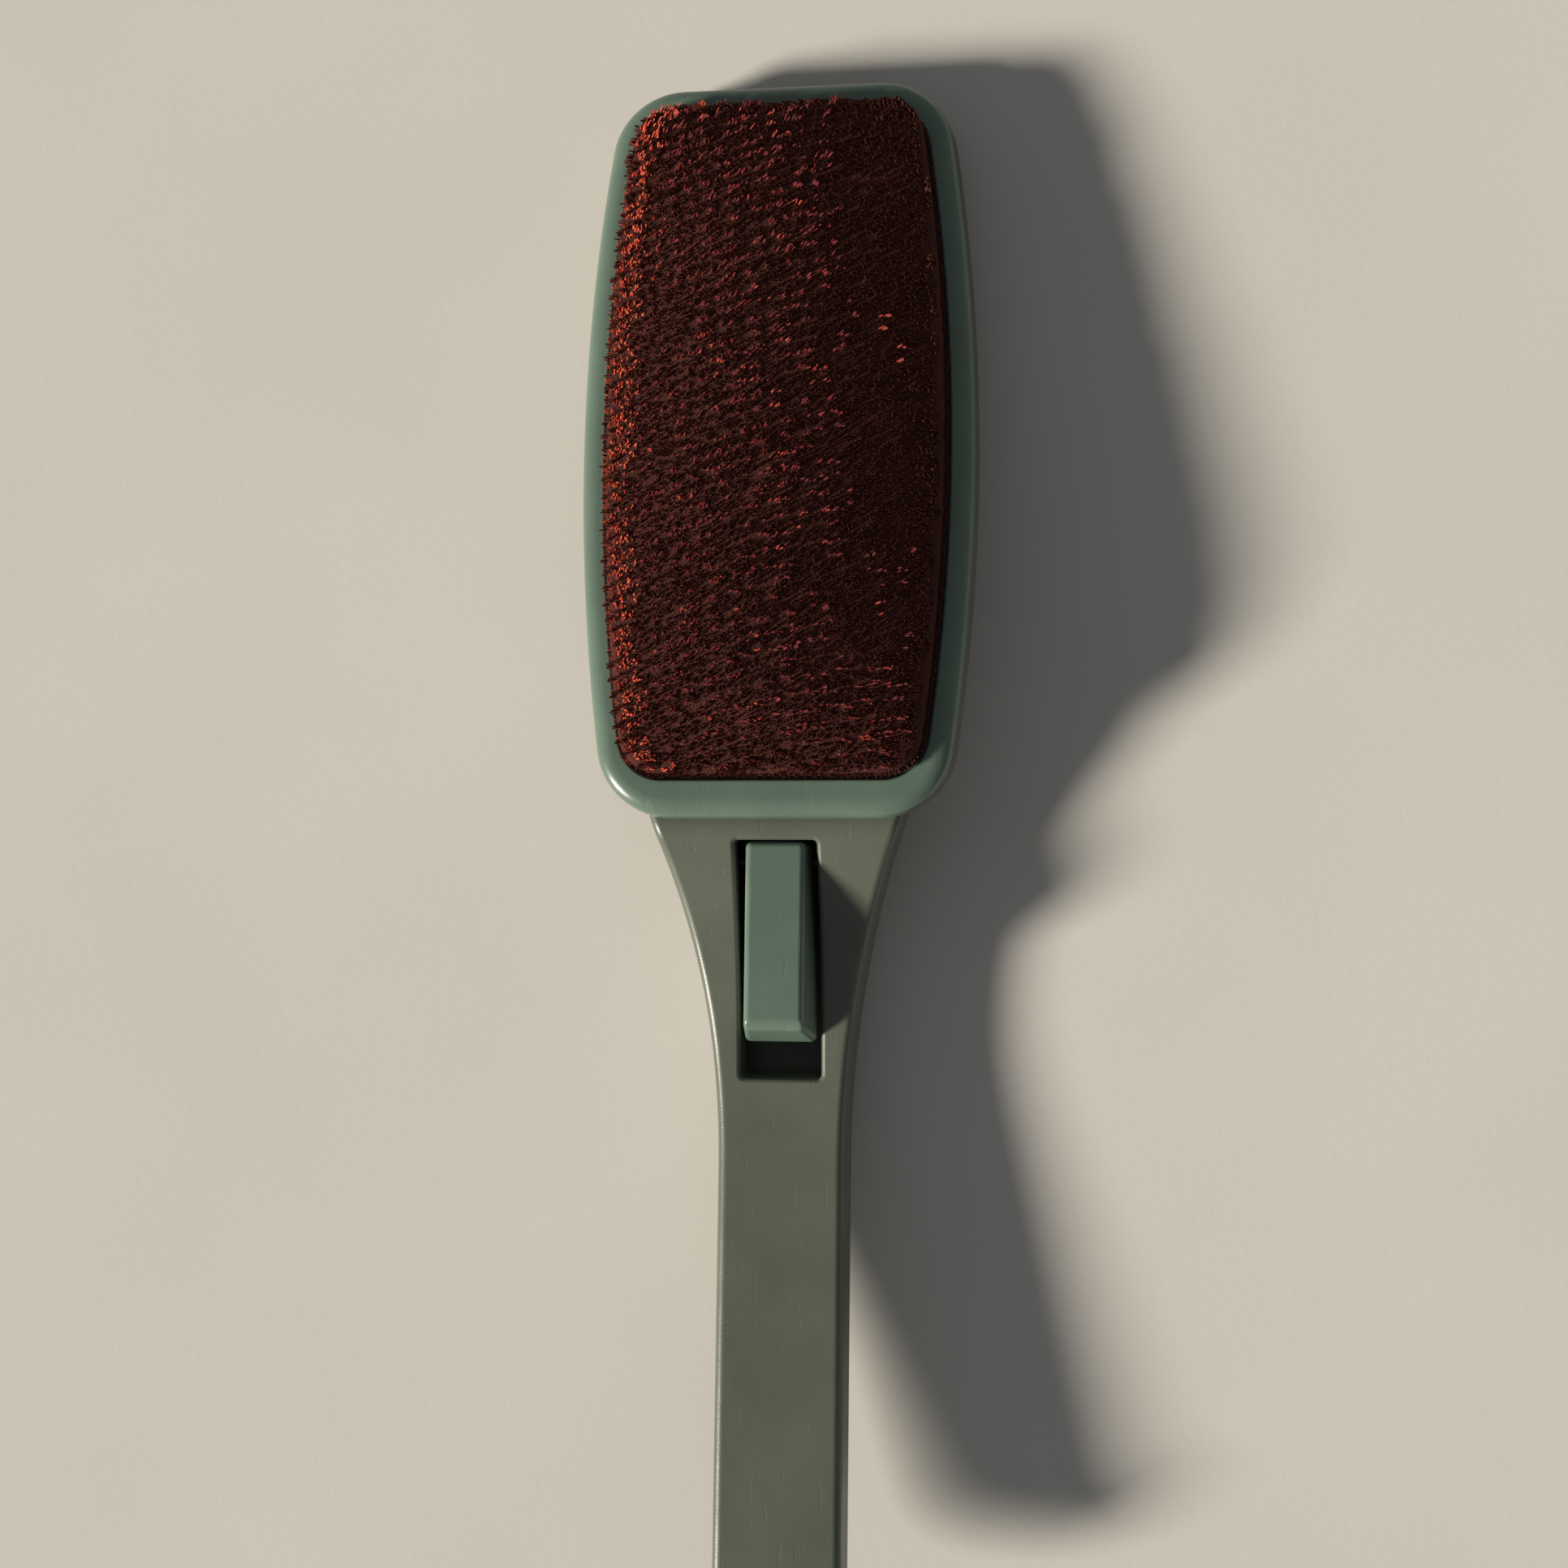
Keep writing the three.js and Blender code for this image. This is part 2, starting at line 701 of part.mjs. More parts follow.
function thumbLever() {
  const sides = solidOf(sideExtrusion(leverProfile(0, 0), leverBaseWidth));
  const outer = sides.intersect(solidOf(leverPrism(0, 0)));
  const hollow = solidOf(sideExtrusion(leverProfile(leverWall, leverTopWall), leverBaseWidth));
  let lever = outer.subtract(hollow.intersect(solidOf(leverPrism(leverWall, leverTopWall))));
  const hub = solidOf(crossBar(leverHubRadius, leverBaseWidth)).intersect(outer);
  const ribHalf = leverRibWidth / 2;
  const rib = box(-ribHalf, ribHalf, leverRibOffset, ribFront, 0, leverFrontHeight);
  lever = lever.add(hub).add(solidOf(rib).intersect(outer));
  const gateHalf = sliderWidth / 2 + fit;
  // Pressing the tail lifts the front wall under the gate
  const frontLift = leverFront * Math.sin(leverSwing);
  const gateLow = sliderArm - discThickness / 2 - frontLift - 2 * fit;
  const gateHigh = sliderArm + discThickness / 2 + 2 * fit;
  const gate = box(-gateHalf, gateHalf, ribFront, leverFront + overrun, gateLow, gateHigh);
  const bore = crossBar(pinRadius + pinClearance, leverBaseWidth + overrun, smallRoundSides);
  return lever.subtract(solidOf(gate)).subtract(solidOf(bore));
}

// Latch slider and spring, in the head's frame

// The slider's middle plane, and its height above the lever's pin where the lever's rib meets it
const springMiddle = (discTop + discUnder) / 2;
const sliderHeight = rimAtTip + pinStation * Math.tan(headTilt) + springMiddle / Math.cos(headTilt);
const sliderArm = sliderHeight - pinHeight;
const sliderFront = -(discRadius + fit);
const ribRearFace = alongHead(pinStation - leverRibOffset, springMiddle);
const windowRear = ribRearFace - fit;
const sliderRear = windowRear - sliderRearBar;
const windowFront = alongHead(pinStation - ribFront, springMiddle) + sliderWindowPlay;
const springUnder = springMiddle - springOuterRadius;
const guideRestFront = -(discRadius + guideStartMargin + frontRestInset);
const guideRestRear = alongHead(slotStation, springMiddle) + rearRestInset;
const springPostRear = guideRestRear + 2 * fit;
const springPostFront = springPostRear + springPostThickness;
const springFront = springPostFront + 2 * fit + springLength;
const springWindowHalf = springOuterRadius + fit;

function latchSlider() {
  const half = sliderWidth / 2;
  const noseHalf = noseWidth / 2;
  const body = solidOf(box(-half, half, sliderRear, sliderFront - noseLength, discUnder, discTop));
  const noseRear = sliderFront - noseLength - fit;
  const nose = solidOf(box(-noseHalf, noseHalf, noseRear, sliderFront, discUnder, discTop));
  const windowHalf = leverRibWidth / 2 + fit;
  const low = discUnder - overrun;
  const leverWindow = box(-windowHalf, windowHalf, windowRear, windowFront, low, overrun);
  const springWindowRear = springPostRear - springWindowMargin;
  const springWindow = box(-springWindowHalf, springWindowHalf, springWindowRear, springFront, low, overrun);
  return body.add(nose).subtract(solidOf(leverWindow)).subtract(solidOf(springWindow));
}

/** The spring's wire: one helix whose ends run straight along its axis for one wire diameter. */
class SpringWire extends THREE.Curve {
  getPoint(share) {
    const straight = 2 * springWireRadius;
    const total = springLength;
    const radius = springOuterRadius - springWireRadius;
    const travel = share * total;
    const coiled = Math.min(Math.max((travel - straight) / (total - 2 * straight), 0), 1);
    const angle = 2 * Math.PI * springTurns * coiled;
    return new THREE.Vector3(radius * Math.cos(angle), -travel, radius * Math.sin(angle));
  }
}

function latchSpring() {
  const wire = new SpringWire();
  const straightShare = (2 * springWireRadius) / springLength;
  const shares = [0];
  const steps = springSteps * springTurns;
  for (let i = 0; i <= steps; i++) {
    shares.push(straightShare + ((1 - 2 * straightShare) * i) / steps);
  }
  shares.push(1);
  const places = shares.map((share) => wire.getPoint(share));
  const rings = places.map((place, i) => {
    const before = places[Math.max(i - 1, 0)];
    const after = places[Math.min(i + 1, places.length - 1)];
    const tangent = after.clone().sub(before).normalize();
    const outward = new THREE.Vector3(place.x, 0, place.z);
    outward.addScaledVector(tangent, -outward.dot(tangent)).normalize();
    const sideways = tangent.clone().cross(outward);
    return Array.from({ length: springSides }, (_, k) => {
      const angle = (2 * Math.PI * k) / springSides;
      return place
        .clone()
        .addScaledVector(outward, springWireRadius * Math.cos(angle))
        .addScaledVector(sideways, springWireRadius * Math.sin(angle));
    });
  });
  printLeastGap(places, springSteps / 2);
  return loft(rings).translate([0, springFront - fit, springMiddle]);
}

/** Prints the least clear distance between parts of the wire at least half a turn apart. */
function printLeastGap(places, apart) {
  let least = Infinity;
  places.forEach((a, i) => {
    places.slice(i + apart).forEach((b) => {
      least = Math.min(least, a.distanceTo(b) - 2 * springWireRadius);
    });
  });
  console.log("least gap of the spring to itself: " + least.toFixed(2) + " mm");
}

// Swivel pieces, in the head's frame

function thrustWasher() {
  const inner = hubRadius + 2 * fit;
  const outer = inner + washerWidth;
  return solidOf(
    turned([
      [inner, washerUnder],
      [outer, washerUnder],
      [outer, washerTop],
      [inner, washerTop],
      [inner, washerUnder],
    ]),
  );
}

function indexDisc() {
  let disc = solidOf(bar(discRadius, discUnder, discTop, 0, 0, 2 * roundSides));
  const half = notchWidth / 2;
  const depth = discRadius - notchDepth;
  for (const side of [-1, 1]) {
    const edges = [side * depth, side * (discRadius + overrun)].sort((a, b) => a - b);
    const notch = box(-half, half, edges[0], edges[1], discUnder - overrun, discTop + overrun);
    disc = disc.subtract(solidOf(notch));
  }
  const hole = bar(swivelScrewRadius + fit, discUnder - overrun, discTop + overrun, 0, 0, smallRoundSides);
  return disc.subtract(solidOf(hole));
}

// Head pieces, in the head's frame

const rimScrewSide = headOutline().cornerX - rimScrewInset;
const rimScrewPlaces = [-1, 1].flatMap((end) =>
  [-1, 1].map((side) => ({
    x: side * rimScrewSide,
    y: end * (headLength / 2 - rimWall - rimBossRadius + fit / 2),
  })),
);
const rimBossUnder = baseTop + fit;
const rimScrewHeadUnder = baseUnder + fit / 2;
const rimHoleTop = rimScrewHeadUnder + rimScrewHeadHeight + rimScrewReach + fit / 2;

function headBezel() {
  const rounding = [];
  for (let i = 0; i <= cornerSteps; i++) {
    const angle = (quarterTurn * i) / cornerSteps;
    const inset = rimEdgeRadius * (1 - Math.cos(angle));
    rounding.push(ringAt(headOutline(inset), -rimEdgeRadius * (1 - Math.sin(angle))));
  }
  let bezel = loft([ringAt(headOutline(), baseUnder), ...rounding]);
  bezel = bezel.subtract(solidOf(plate(openingOutline(), baseUnder - overrun, overrun)));
  bezel = bezel.subtract(solidOf(plate(headOutline(rimWall), baseUnder - overrun, lipUnder)));
  for (const { x, y } of rimScrewPlaces) {
    const boss = solidOf(bar(rimBossRadius, rimBossUnder, lipUnder / 2, x, y, smallRoundSides));
    const hole = bar(rimScrewShankRadius + fit / 2, baseUnder, rimHoleTop, x, y, smallRoundSides);
    bezel = bezel.add(boss).subtract(solidOf(hole));
  }
  return bezel;
}

function headBase() {
  let base = solidOf(plate(headOutline(rimWall + fit), baseUnder, baseTop));
  base = base.add(solidOf(bar(hubRadius, hubEnd, baseTop - headBaseThickness / 2)));
  const boreTop = swivelScrewHeadTop + swivelScrewGrip + fit;
  const bore = bar(swivelScrewRadius + fit, hubEnd - overrun, boreTop, 0, 0, smallRoundSides);
  base = base.subtract(solidOf(bore));
  for (const { x, y } of rimScrewPlaces) {
    const headTop = rimScrewHeadUnder + rimScrewHeadHeight + fit / 2;
    const sink = bar(rimScrewHeadRadius + fit, baseUnder - overrun, headTop, x, y, smallRoundSides);
    const hole = bar(rimScrewShankRadius + fit / 2, baseUnder - overrun, overrun, x, y, smallRoundSides);
    base = base.subtract(solidOf(sink)).subtract(solidOf(hole));
  }
  return base;
}

function padPlate() {
  let body = solidOf(plate(openingOutline(-padPlateFlange), padPlateUnder, padPlateTop));
  for (const { x, y } of rimScrewPlaces) {
    const clear = bar(rimBossRadius + fit, padPlateUnder - overrun, overrun, x, y, smallRoundSides);
    body = body.subtract(solidOf(clear));
  }
  return body;
}

// Pad: a foam dome under a cloth with a leaning pile

const domeShares = [1, 0.96, 0.88, 0.74, 0.5, 0.2];
const innerDomeShares = [1, 0.9, 0.62, 0.1];
const padHalfLength = headLength / 2 - rimEndBand - clothGap;
const padHalfWidth = headWidth / 2 - rimSideBand - clothGap;

/** Height of the cloth's outer face over the rim's top plane. */
function clothHeight(x, y) {
  const across = Math.min(Math.abs(x) / padHalfWidth, 1);
  const along = Math.min(Math.abs(y) / padHalfLength, 1);
  return padEdgeHeight + padCrown * (1 - across * across) * (1 - along ** padEndPower);
}

/** A dome over the rim's opening: the outline drawn in by an inset, its face sunk by a depth. */
function dome(inset, depth, low, shares, endPieces) {
  const outline = openingOutline(clothGap + inset);
  const rings = shares.map((share) =>
    barrelPoints(outline, endPieces).map((point) => {
      const x = point.x * share;
      const y = point.y * share;
      return new THREE.Vector3(x, y, clothHeight(x, y) - depth);
    }),
  );
  return loft([ringAt(outline, low, endPieces), ...rings]);
}

const foamUnder = padPlateTop + fit;

function foamPad() {
  const inset = clothThickness + fit;
  return dome(inset, inset, foamUnder, innerDomeShares, innerDomeEndPieces);
}

/** Places of the pile's strands: slanted rows, every other row shifted by half a pitch. */
function strandPlaces() {
  const edge = openingOutline(clothGap + strandEdgeMargin);
  const places = [];
  const rows = Math.ceil((padHalfLength + padHalfWidth) / strandRowPitch);
  const columns = Math.ceil(padHalfWidth / strandColumnPitch);
  for (let row = -rows; row <= rows; row++) {
    for (let column = -columns; column <= columns; column++) {
      const x = (column + (row % 2 === 0 ? 0 : 1 / 2)) * strandColumnPitch;
      const y = row * strandRowPitch + x * Math.tan(strandRowSlant);
      const inside = Math.abs(y) < padHalfLength - strandEdgeMargin && Math.abs(x) < barrelHalfWidth(edge, y);
      if (inside) places.push({ x, y });
    }
  }
  return places;
}

/** All strands in one geometry, each a three-sided taper that leans to the left and towards the grip. */
function strandGeometry(places) {
  const points = [];
  const index = [];
  const lean = new THREE.Vector3(-Math.sin(strandLean), -Math.sin(strandDroop), Math.cos(strandLean));
  lean.normalize();
  for (const { x, y } of places) {
    const first = points.length;
    const root = new THREE.Vector3(x, y, clothHeight(x, y)).addScaledVector(lean, -strandSink);
    for (let k = 0; k < strandSides; k++) {
      const angle = (2 * Math.PI * k) / strandSides;
      const offset = new THREE.Vector3(Math.cos(angle), Math.sin(angle), 0);
      points.push(root.clone().addScaledVector(offset, strandRootRadius));
      index.push(first + k, first + ((k + 1) % strandSides), first + strandSides);
    }
    points.push(root.clone().addScaledVector(lean, strandSink + strandLength));
    index.push(first, first + 2, first + 1);
  }
  const geometry = new THREE.BufferGeometry().setFromPoints(points);
  geometry.setIndex(index);
  return geometry;
}

function lintPile() {
  const face = dome(0, 0, foamUnder, domeShares, domeEndPieces);
  const low = foamUnder - overrun;
  const hollow = dome(clothThickness, clothThickness, low, innerDomeShares, innerDomeEndPieces);
  const cloth = face.subtract(hollow);
  const places = strandPlaces();
  console.log("strands of the pile: " + places.length);
  return cloth.add(solidOf(strandGeometry(places)));
}

// Materials

function finish(color, roughness, metalness = 0) {
  return new THREE.MeshStandardMaterial({ color, roughness, metalness });
}

const greyGreenPlastic = finish(0x76807a, 0.45);
const tealPlastic = finish(0x839b8f, 0.35);
const darkPlastic = finish(0x3a4240, 0.5);
const steel = finish(0xb8bcc0, 0.3, 1);
const foam = finish(0x4a2a2a, 0.95);
const redPile = finish(0x8c1a12, 0.6);

// Scene graph

function piece(name, solid, material) {
  const mesh = new THREE.Mesh(geometryOf(solid), material);
  mesh.name = name;
  return mesh;
}

const brush = new THREE.Group();
brush.add(piece("handle_top_shell", handleTopShell(), greyGreenPlastic));
brush.add(piece("handle_bottom_shell", handleBottomShell(), greyGreenPlastic));

shellScrews.forEach((place, i) => {
  const body = screw(screwHeadRadius, screwHeadHeight, screwShankRadius, screwLength);
  const mesh = piece("shell_screw_" + (i + 1), body, steel);
  mesh.position.set(place.x, alongY(place.station), screwHeadLevel(place.station));
  brush.add(mesh);
});

const pinLength = slotWidth + 2 * slotWall - 2 * fit;
const leverPin = piece("lever_pin", solidOf(crossBar(pinRadius, pinLength, smallRoundSides)), steel);
const lever = piece("thumb_lever", thumbLever(), tealPlastic);
const leverGroup = new THREE.Group();
leverGroup.position.set(0, alongY(pinStation), pinHeight);
leverGroup.add(leverPin, lever);
brush.add(leverGroup);

const headGroup = new THREE.Group();
headGroup.rotation.x = -headTilt;
headGroup.position.set(0, alongY(headStation), headHeight);
headGroup.add(piece("latch_slider", latchSlider(), darkPlastic));
headGroup.add(piece("latch_spring", latchSpring(), steel));
headGroup.add(piece("thrust_washer", thrustWasher(), darkPlastic));
headGroup.add(piece("index_disc", indexDisc(), darkPlastic));
headGroup.add(piece("head_base", headBase(), greyGreenPlastic));
headGroup.add(piece("head_bezel", headBezel(), tealPlastic));
headGroup.add(piece("pad_plate", padPlate(), darkPlastic));
headGroup.add(piece("foam_pad", foamPad(), foam));
headGroup.add(piece("lint_pile", lintPile(), redPile));

const swivelScrew = screw(
  swivelScrewHeadRadius,
  swivelScrewHeadHeight,
  swivelScrewRadius,
  swivelScrewGrip,
);
const swivelScrewMesh = piece("swivel_screw", swivelScrew, steel);
swivelScrewMesh.position.z = swivelScrewHeadUnder;
headGroup.add(swivelScrewMesh);

rimScrewPlaces.forEach(({ x, y }, i) => {
  const body = screw(rimScrewHeadRadius, rimScrewHeadHeight, rimScrewShankRadius, rimScrewReach);
  const mesh = piece("bezel_screw_" + (i + 1), body, steel);
  mesh.position.set(x, y, rimScrewHeadUnder);
  headGroup.add(mesh);
});
brush.add(headGroup);

export default brush;
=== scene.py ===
# A swivel-head lint brush lying on a sheet of pale paper, seen from above.
#
# Lengths are in millimetres until a mesh is made. A station is a distance from the tip, along -Y. The
# head's own frame has its origin on the swivel axis in the rim's top plane, with Z along that axis.
import json
import math
import random

import bmesh
import bpy
from mathutils import Matrix, Vector


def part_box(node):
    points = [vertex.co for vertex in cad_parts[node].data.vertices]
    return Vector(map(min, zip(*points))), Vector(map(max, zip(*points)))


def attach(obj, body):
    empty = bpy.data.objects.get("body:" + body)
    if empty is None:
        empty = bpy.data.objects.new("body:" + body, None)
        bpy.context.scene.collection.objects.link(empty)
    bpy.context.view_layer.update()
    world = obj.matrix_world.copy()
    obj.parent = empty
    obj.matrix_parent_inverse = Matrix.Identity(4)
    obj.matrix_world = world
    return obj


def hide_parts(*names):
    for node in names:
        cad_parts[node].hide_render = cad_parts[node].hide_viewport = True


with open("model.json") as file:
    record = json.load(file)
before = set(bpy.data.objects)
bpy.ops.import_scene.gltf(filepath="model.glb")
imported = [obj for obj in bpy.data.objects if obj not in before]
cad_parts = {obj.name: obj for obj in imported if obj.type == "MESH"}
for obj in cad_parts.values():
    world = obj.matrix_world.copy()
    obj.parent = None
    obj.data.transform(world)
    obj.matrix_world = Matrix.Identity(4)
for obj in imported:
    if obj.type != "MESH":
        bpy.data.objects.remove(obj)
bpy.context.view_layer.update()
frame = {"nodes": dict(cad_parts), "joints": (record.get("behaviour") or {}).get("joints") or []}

MM = 0.001
QUARTER_TURN = math.pi / 2


def joint(name):
    return next(entry for entry in frame["joints"] if entry["name"] == name)


def size_of(node):
    low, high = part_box(node)
    return (high - low) / MM


def numbered(prefix):
    return sorted(name for name in frame["nodes"] if name.startswith(prefix))


# What the frame gives
swivel = joint("head_swivel")
pivot = Vector(swivel["pos_m"]) / MM
swivel_axis = Vector(swivel["axis"])
head_tilt = math.atan2(swivel_axis.y, swivel_axis.z)
pin = Vector(joint("lever_hinge")["pos_m"]) / MM
body_length = size_of("handle_top_shell").y
head_width = size_of("head_bezel").x
head_station = body_length / 2 - pivot.y
tray_length = 2 * head_station

# Shared clearances and walls
FIT = 0.3
OVERRUN = 6
WALL = 1.9
FLOOR = 1.6

# Head outline and section
HEAD_TIP_MARGIN = 0.35
HEAD_SIDE_RADIUS = 342
HEAD_CORNER_RADIUS = 11.5
RIM_EDGE_RADIUS = 1.9
RIM_EDGE_RUN = 2.7
RIM_INNER_RADIUS = 0.45
RIM_FOOT_RADIUS = 0.3
RIM_END_BAND = 5.5
RIM_SIDE_BAND = 3.8
RIM_WALL = 1.7
OPENING_CORNER_RADIUS = 6.8
LIP_THICKNESS = 1.2
PAD_PLATE_THICKNESS = 0.8
HEAD_BASE_THICKNESS = 1.8

# Pad and pile
CLOTH_GAP = 0.6
CLOTH_THICKNESS = 0.9
CLOTH_EDGE_RADIUS = 0.8
PILE_BASE_HEIGHT = 1.55
PILE_BASE_EDGE_RADIUS = 1.6
NAP_TIP_SHIFT = 1.6
NAP_LEFT_SHIFT = 0.25
NAP_FOOT = 0.3
NAP_RISE = 1.2
PAD_EDGE_HEIGHT = 1.1
PAD_CROWN = 5
PAD_END_POWER = 6
TUFT_ROW_PITCH = 2.42
TUFT_COLUMN_PITCH = 1.32
TUFT_ROW_SLANT = math.radians(12)
TUFT_LEFT_SLANT = math.radians(22)
TUFT_LEAN = math.radians(50)
TUFT_LEAN_SPREAD = math.radians(5)
TUFT_LENGTH = 0.9
TUFT_EDGE_RUN = 2
TUFT_LENGTH_SPREAD = 0.08
TUFT_ROW_GATHER_SHARE = 0.2
TUFT_OVERLAP = 0.5
FIBRES_PER_TUFT = 13
FIBRES_PER_EDGE_TUFT = 24
EDGE_FIBRE_PITCH = 0.35
EDGE_FIBRES_PER_PLACE = 2
EDGE_FIBRE_LENGTH = 0.6
EDGE_FIBRE_RISE = math.radians(40)
EDGE_FIBRE_TOP = 1.4
# Share of the left-facing edge fibres that are coloured as lit, which is painted light.
EDGE_PAINTED_LIT_SHARE = 0.5
PILE_SEED = 7
FIBRE_SIDES = 3
FIBRE_ROOT_RADIUS = 0.17
FIBRE_TIP_RADIUS = 0.1
FIBRE_TIP_SPREAD = 0.1
FIBRE_SINK = 0.4
FIBRE_CUT_SPREAD = 0.08
# The shinier fibres between the rows also carry painted light in their colour: painted glints, a painted
# lit band along the pad's left edge, and painted shade where they thin out to the right.
LEAST_GLOSS = 0.1
PAINTED_LIT_EDGE_GLOSS = 0.6
GLOSS_AND_PAINTED_GLINT_SHARE = 0.55
PAINTED_SHADE_RIGHT_SHARE = 0.03
PAINTED_SHADE_FALL_SHARE = 0.5
PAINTED_LIT_BAND = 4.4
PAINTED_LIT_BAND_SPREAD = 0.5
PAINTED_LIT_BAND_SHARE = 0.95
PAINTED_LIT_NECK_RUN = 22
PAINTED_SHADE_RIGHT_MARGIN = 3
GLOSSY_LEAN = math.radians(-50)
GLOSSY_LEAN_SPREAD = math.radians(12)
GLOSSY_LENGTH = 1
GLOSSY_ROW_SHARE = 0.3
PAINTED_LIT_BAND_ROW_SHARE = 0.14

# Swivel
SWIVEL_GAP = 0.4
HUB_RADIUS = 8
HUB_REACH = 1.5
WASHER_WIDTH = 6.2
WASHER_THICKNESS = 0.5
DISC_THICKNESS = 1
SWIVEL_SCREW_RADIUS = 1.3
SWIVEL_SCREW_HEAD_RADIUS = 3.2
SWIVEL_SCREW_HEAD_HEIGHT = 1.4
SWIVEL_SCREW_GRIP = 5.2
ACCESS_HOLE_MARGIN = 1

# Handle
TRAY_TIP_THICKNESS = 5.15
TRAY_MARGIN = 0.6
TRAY_UNDERSIDE_TILT = math.radians(6.1)
GRIP_WIDTH = 20.9
NECK_ARC_RADIUS = 160
NECK_ARC_RUN = 51
END_CORNER_RADIUS = 6
DIP_RUN = 34
DIP_DROP = 7.34
DIP_FRONT_RADIUS = 85
DIP_REAR_RADIUS = 180
GRIP_RISE = math.radians(7.5)
BELLY_RUN = 26
BELLY_FRONT_RADIUS = 45
BELLY_REAR_RADIUS = 40
UNDERSIDE_RISE = math.radians(9.8)
CREST_BLEND = 0.9
ARCH_BLEND = 3
FLICK_LENGTH = 13
FLICK_RADIUS = 22
TOP_EDGE_RADIUS = 1.5
UNDERSIDE_EDGE_RADIUS = 3.6
END_EDGE_RADIUS = 1.2
SIDE_DRAFT = 0.5
SEAM_SHARE = 0.45
UNDERSIDE_EDGE_SHARE = 0.7

# Lever and its slot
SLOT_MARGIN = 3.5
SLOT_LENGTH = 37.6
SLOT_WIDTH = 12.7
SLOT_WALL = 1.5
SLOT_CORNER_RADIUS = 0.7
SLOT_RIM_RADIUS = 0.8
PIN_RADIUS = 1.1
PIN_CLEARANCE = 0.25
PIN_SETBACK = 3.4
LEVER_HUB_RADIUS = 2.4
LEVER_FRONT_GAP = 0.3
LEVER_FRONT_HEIGHT = 6.6
LEVER_TOP_LENGTH = 28.1
LEVER_TOP_SLOPE = math.radians(7.3)
LEVER_END_SLOPE = math.radians(18)
LEVER_TAIL_DEPTH = 1
LEVER_TOP_WIDTH = 9
LEVER_BASE_WIDTH = 11.4
LEVER_WALL = 1.2
LEVER_TOP_WALL = 1.4
LEVER_EDGE_RADIUS = 0.9
LEVER_TAIL_RADIUS = 1.8

# Spring of the latch
SPRING_TURNS = 7
SPRING_WIRE_RADIUS = 0.25

# Fasteners
SCREW_SHANK_RADIUS = 1.1
SCREW_HEAD_RADIUS = 2.4
SCREW_HEAD_HEIGHT = 1.3
SCREW_BOSS_RADIUS = 3.1
SCREW_LENGTH = 3.2
RIM_SCREW_SHANK_RADIUS = 0.7
RIM_SCREW_HEAD_RADIUS = 1.4
RIM_SCREW_HEAD_HEIGHT = 0.7
RIM_SCREW_REACH = 1.9
SCREW_EDGE_SHARE = 0.25
SCREW_STRAIGHT_SHARE = 0.75
SCREW_POINT_SHARE = 0.25
RECESS_ARM_SHARE = 0.55
RECESS_HALF_WIDTH_SHARE = 1 / 9
RECESS_DEPTH_SHARE = 0.6

# Counts of facets
ROUND_SIDES = 64
EDGE_STEPS = 8
CORNER_STEPS = 14
SIDE_STEPS = 28
BODY_STEPS = 26
END_PIECES = 20
SLOT_STEPS = 24
DOME_RINGS = 22
WIRE_STEPS = 24
WIRE_SIDES = 10

# Angles in degrees over which an edge is shaded sharp
SHARP_ANGLE = 35
SOFT_SHARP_ANGLE = 60

# Levels in the head's own frame
LIP_UNDER = -LIP_THICKNESS
PAD_PLATE_TOP = LIP_UNDER - FIT
BASE_TOP = PAD_PLATE_TOP - PAD_PLATE_THICKNESS - FIT
BASE_UNDER = BASE_TOP - HEAD_BASE_THICKNESS
FOAM_UNDER = PAD_PLATE_TOP + FIT
DECK_UNDER = BASE_UNDER - SWIVEL_GAP - WALL * math.cos(head_tilt)
WASHER_UNDER = BASE_UNDER - FIT - WASHER_THICKNESS
HUB_END = DECK_UNDER - HUB_REACH
SWIVEL_SCREW_HEAD_UNDER = HUB_END - DISC_THICKNESS - 2 * FIT - SWIVEL_SCREW_HEAD_HEIGHT

# Places along the brush
slot_station = tray_length + SLOT_MARGIN
slot_end = slot_station + SLOT_LENGTH
belly_station = slot_station + BELLY_RUN
dip_station = slot_station + DIP_RUN
neck_arc_station = slot_station + NECK_ARC_RUN
dip_height = TRAY_TIP_THICKNESS + tray_length * math.tan(head_tilt) - DIP_DROP
head_half_length = (head_station - HEAD_TIP_MARGIN) / math.cos(head_tilt)
pad_half_length = head_half_length - RIM_END_BAND - CLOTH_GAP
pad_half_width = head_width / 2 - RIM_SIDE_BAND - CLOTH_GAP

head_frame = Matrix.Translation(pivot) @ Matrix.Rotation(-head_tilt, 4, "X")
lever_frame = Matrix.Translation(pin)


def along_y(station):
    return body_length / 2 - station


def quarter_angles(steps=EDGE_STEPS):
    return [QUARTER_TURN * i / steps for i in range(steps + 1)]


# Meshes


def make_object(name, points, faces, place=Matrix()):
    """A mesh object from points in millimetres, in the frame of the given place."""
    mesh = bpy.data.meshes.new(name)
    mesh.from_pydata([(place @ Vector(point)) * MM for point in points], [], faces)
    mesh.validate()
    obj = bpy.data.objects.new(name, mesh)
    bpy.context.scene.collection.objects.link(obj)
    return obj


def face_outward(obj):
    work = bmesh.new()
    work.from_mesh(obj.data)
    bmesh.ops.recalc_face_normals(work, faces=work.faces)
    work.to_mesh(obj.data)
    work.free()
    return obj


def loft(name, rings, place=Matrix(), closed=False):
    """A skin through rings of equal count. It ends in flat caps, or closes on itself."""
    count = len(rings[0])
    points = [point for ring in rings for point in ring]
    faces = []
    for ring in range(len(rings) if closed else len(rings) - 1):
        here = ring * count
        there = ((ring + 1) % len(rings)) * count
        for i in range(count):
            j = (i + 1) % count
            faces.append((here + i, here + j, there + j, there + i))
    if not closed:
        faces.append(tuple(reversed(range(count))))
        faces.append(tuple(range(len(points) - count, len(points))))
    return face_outward(make_object(name, points, faces, place))


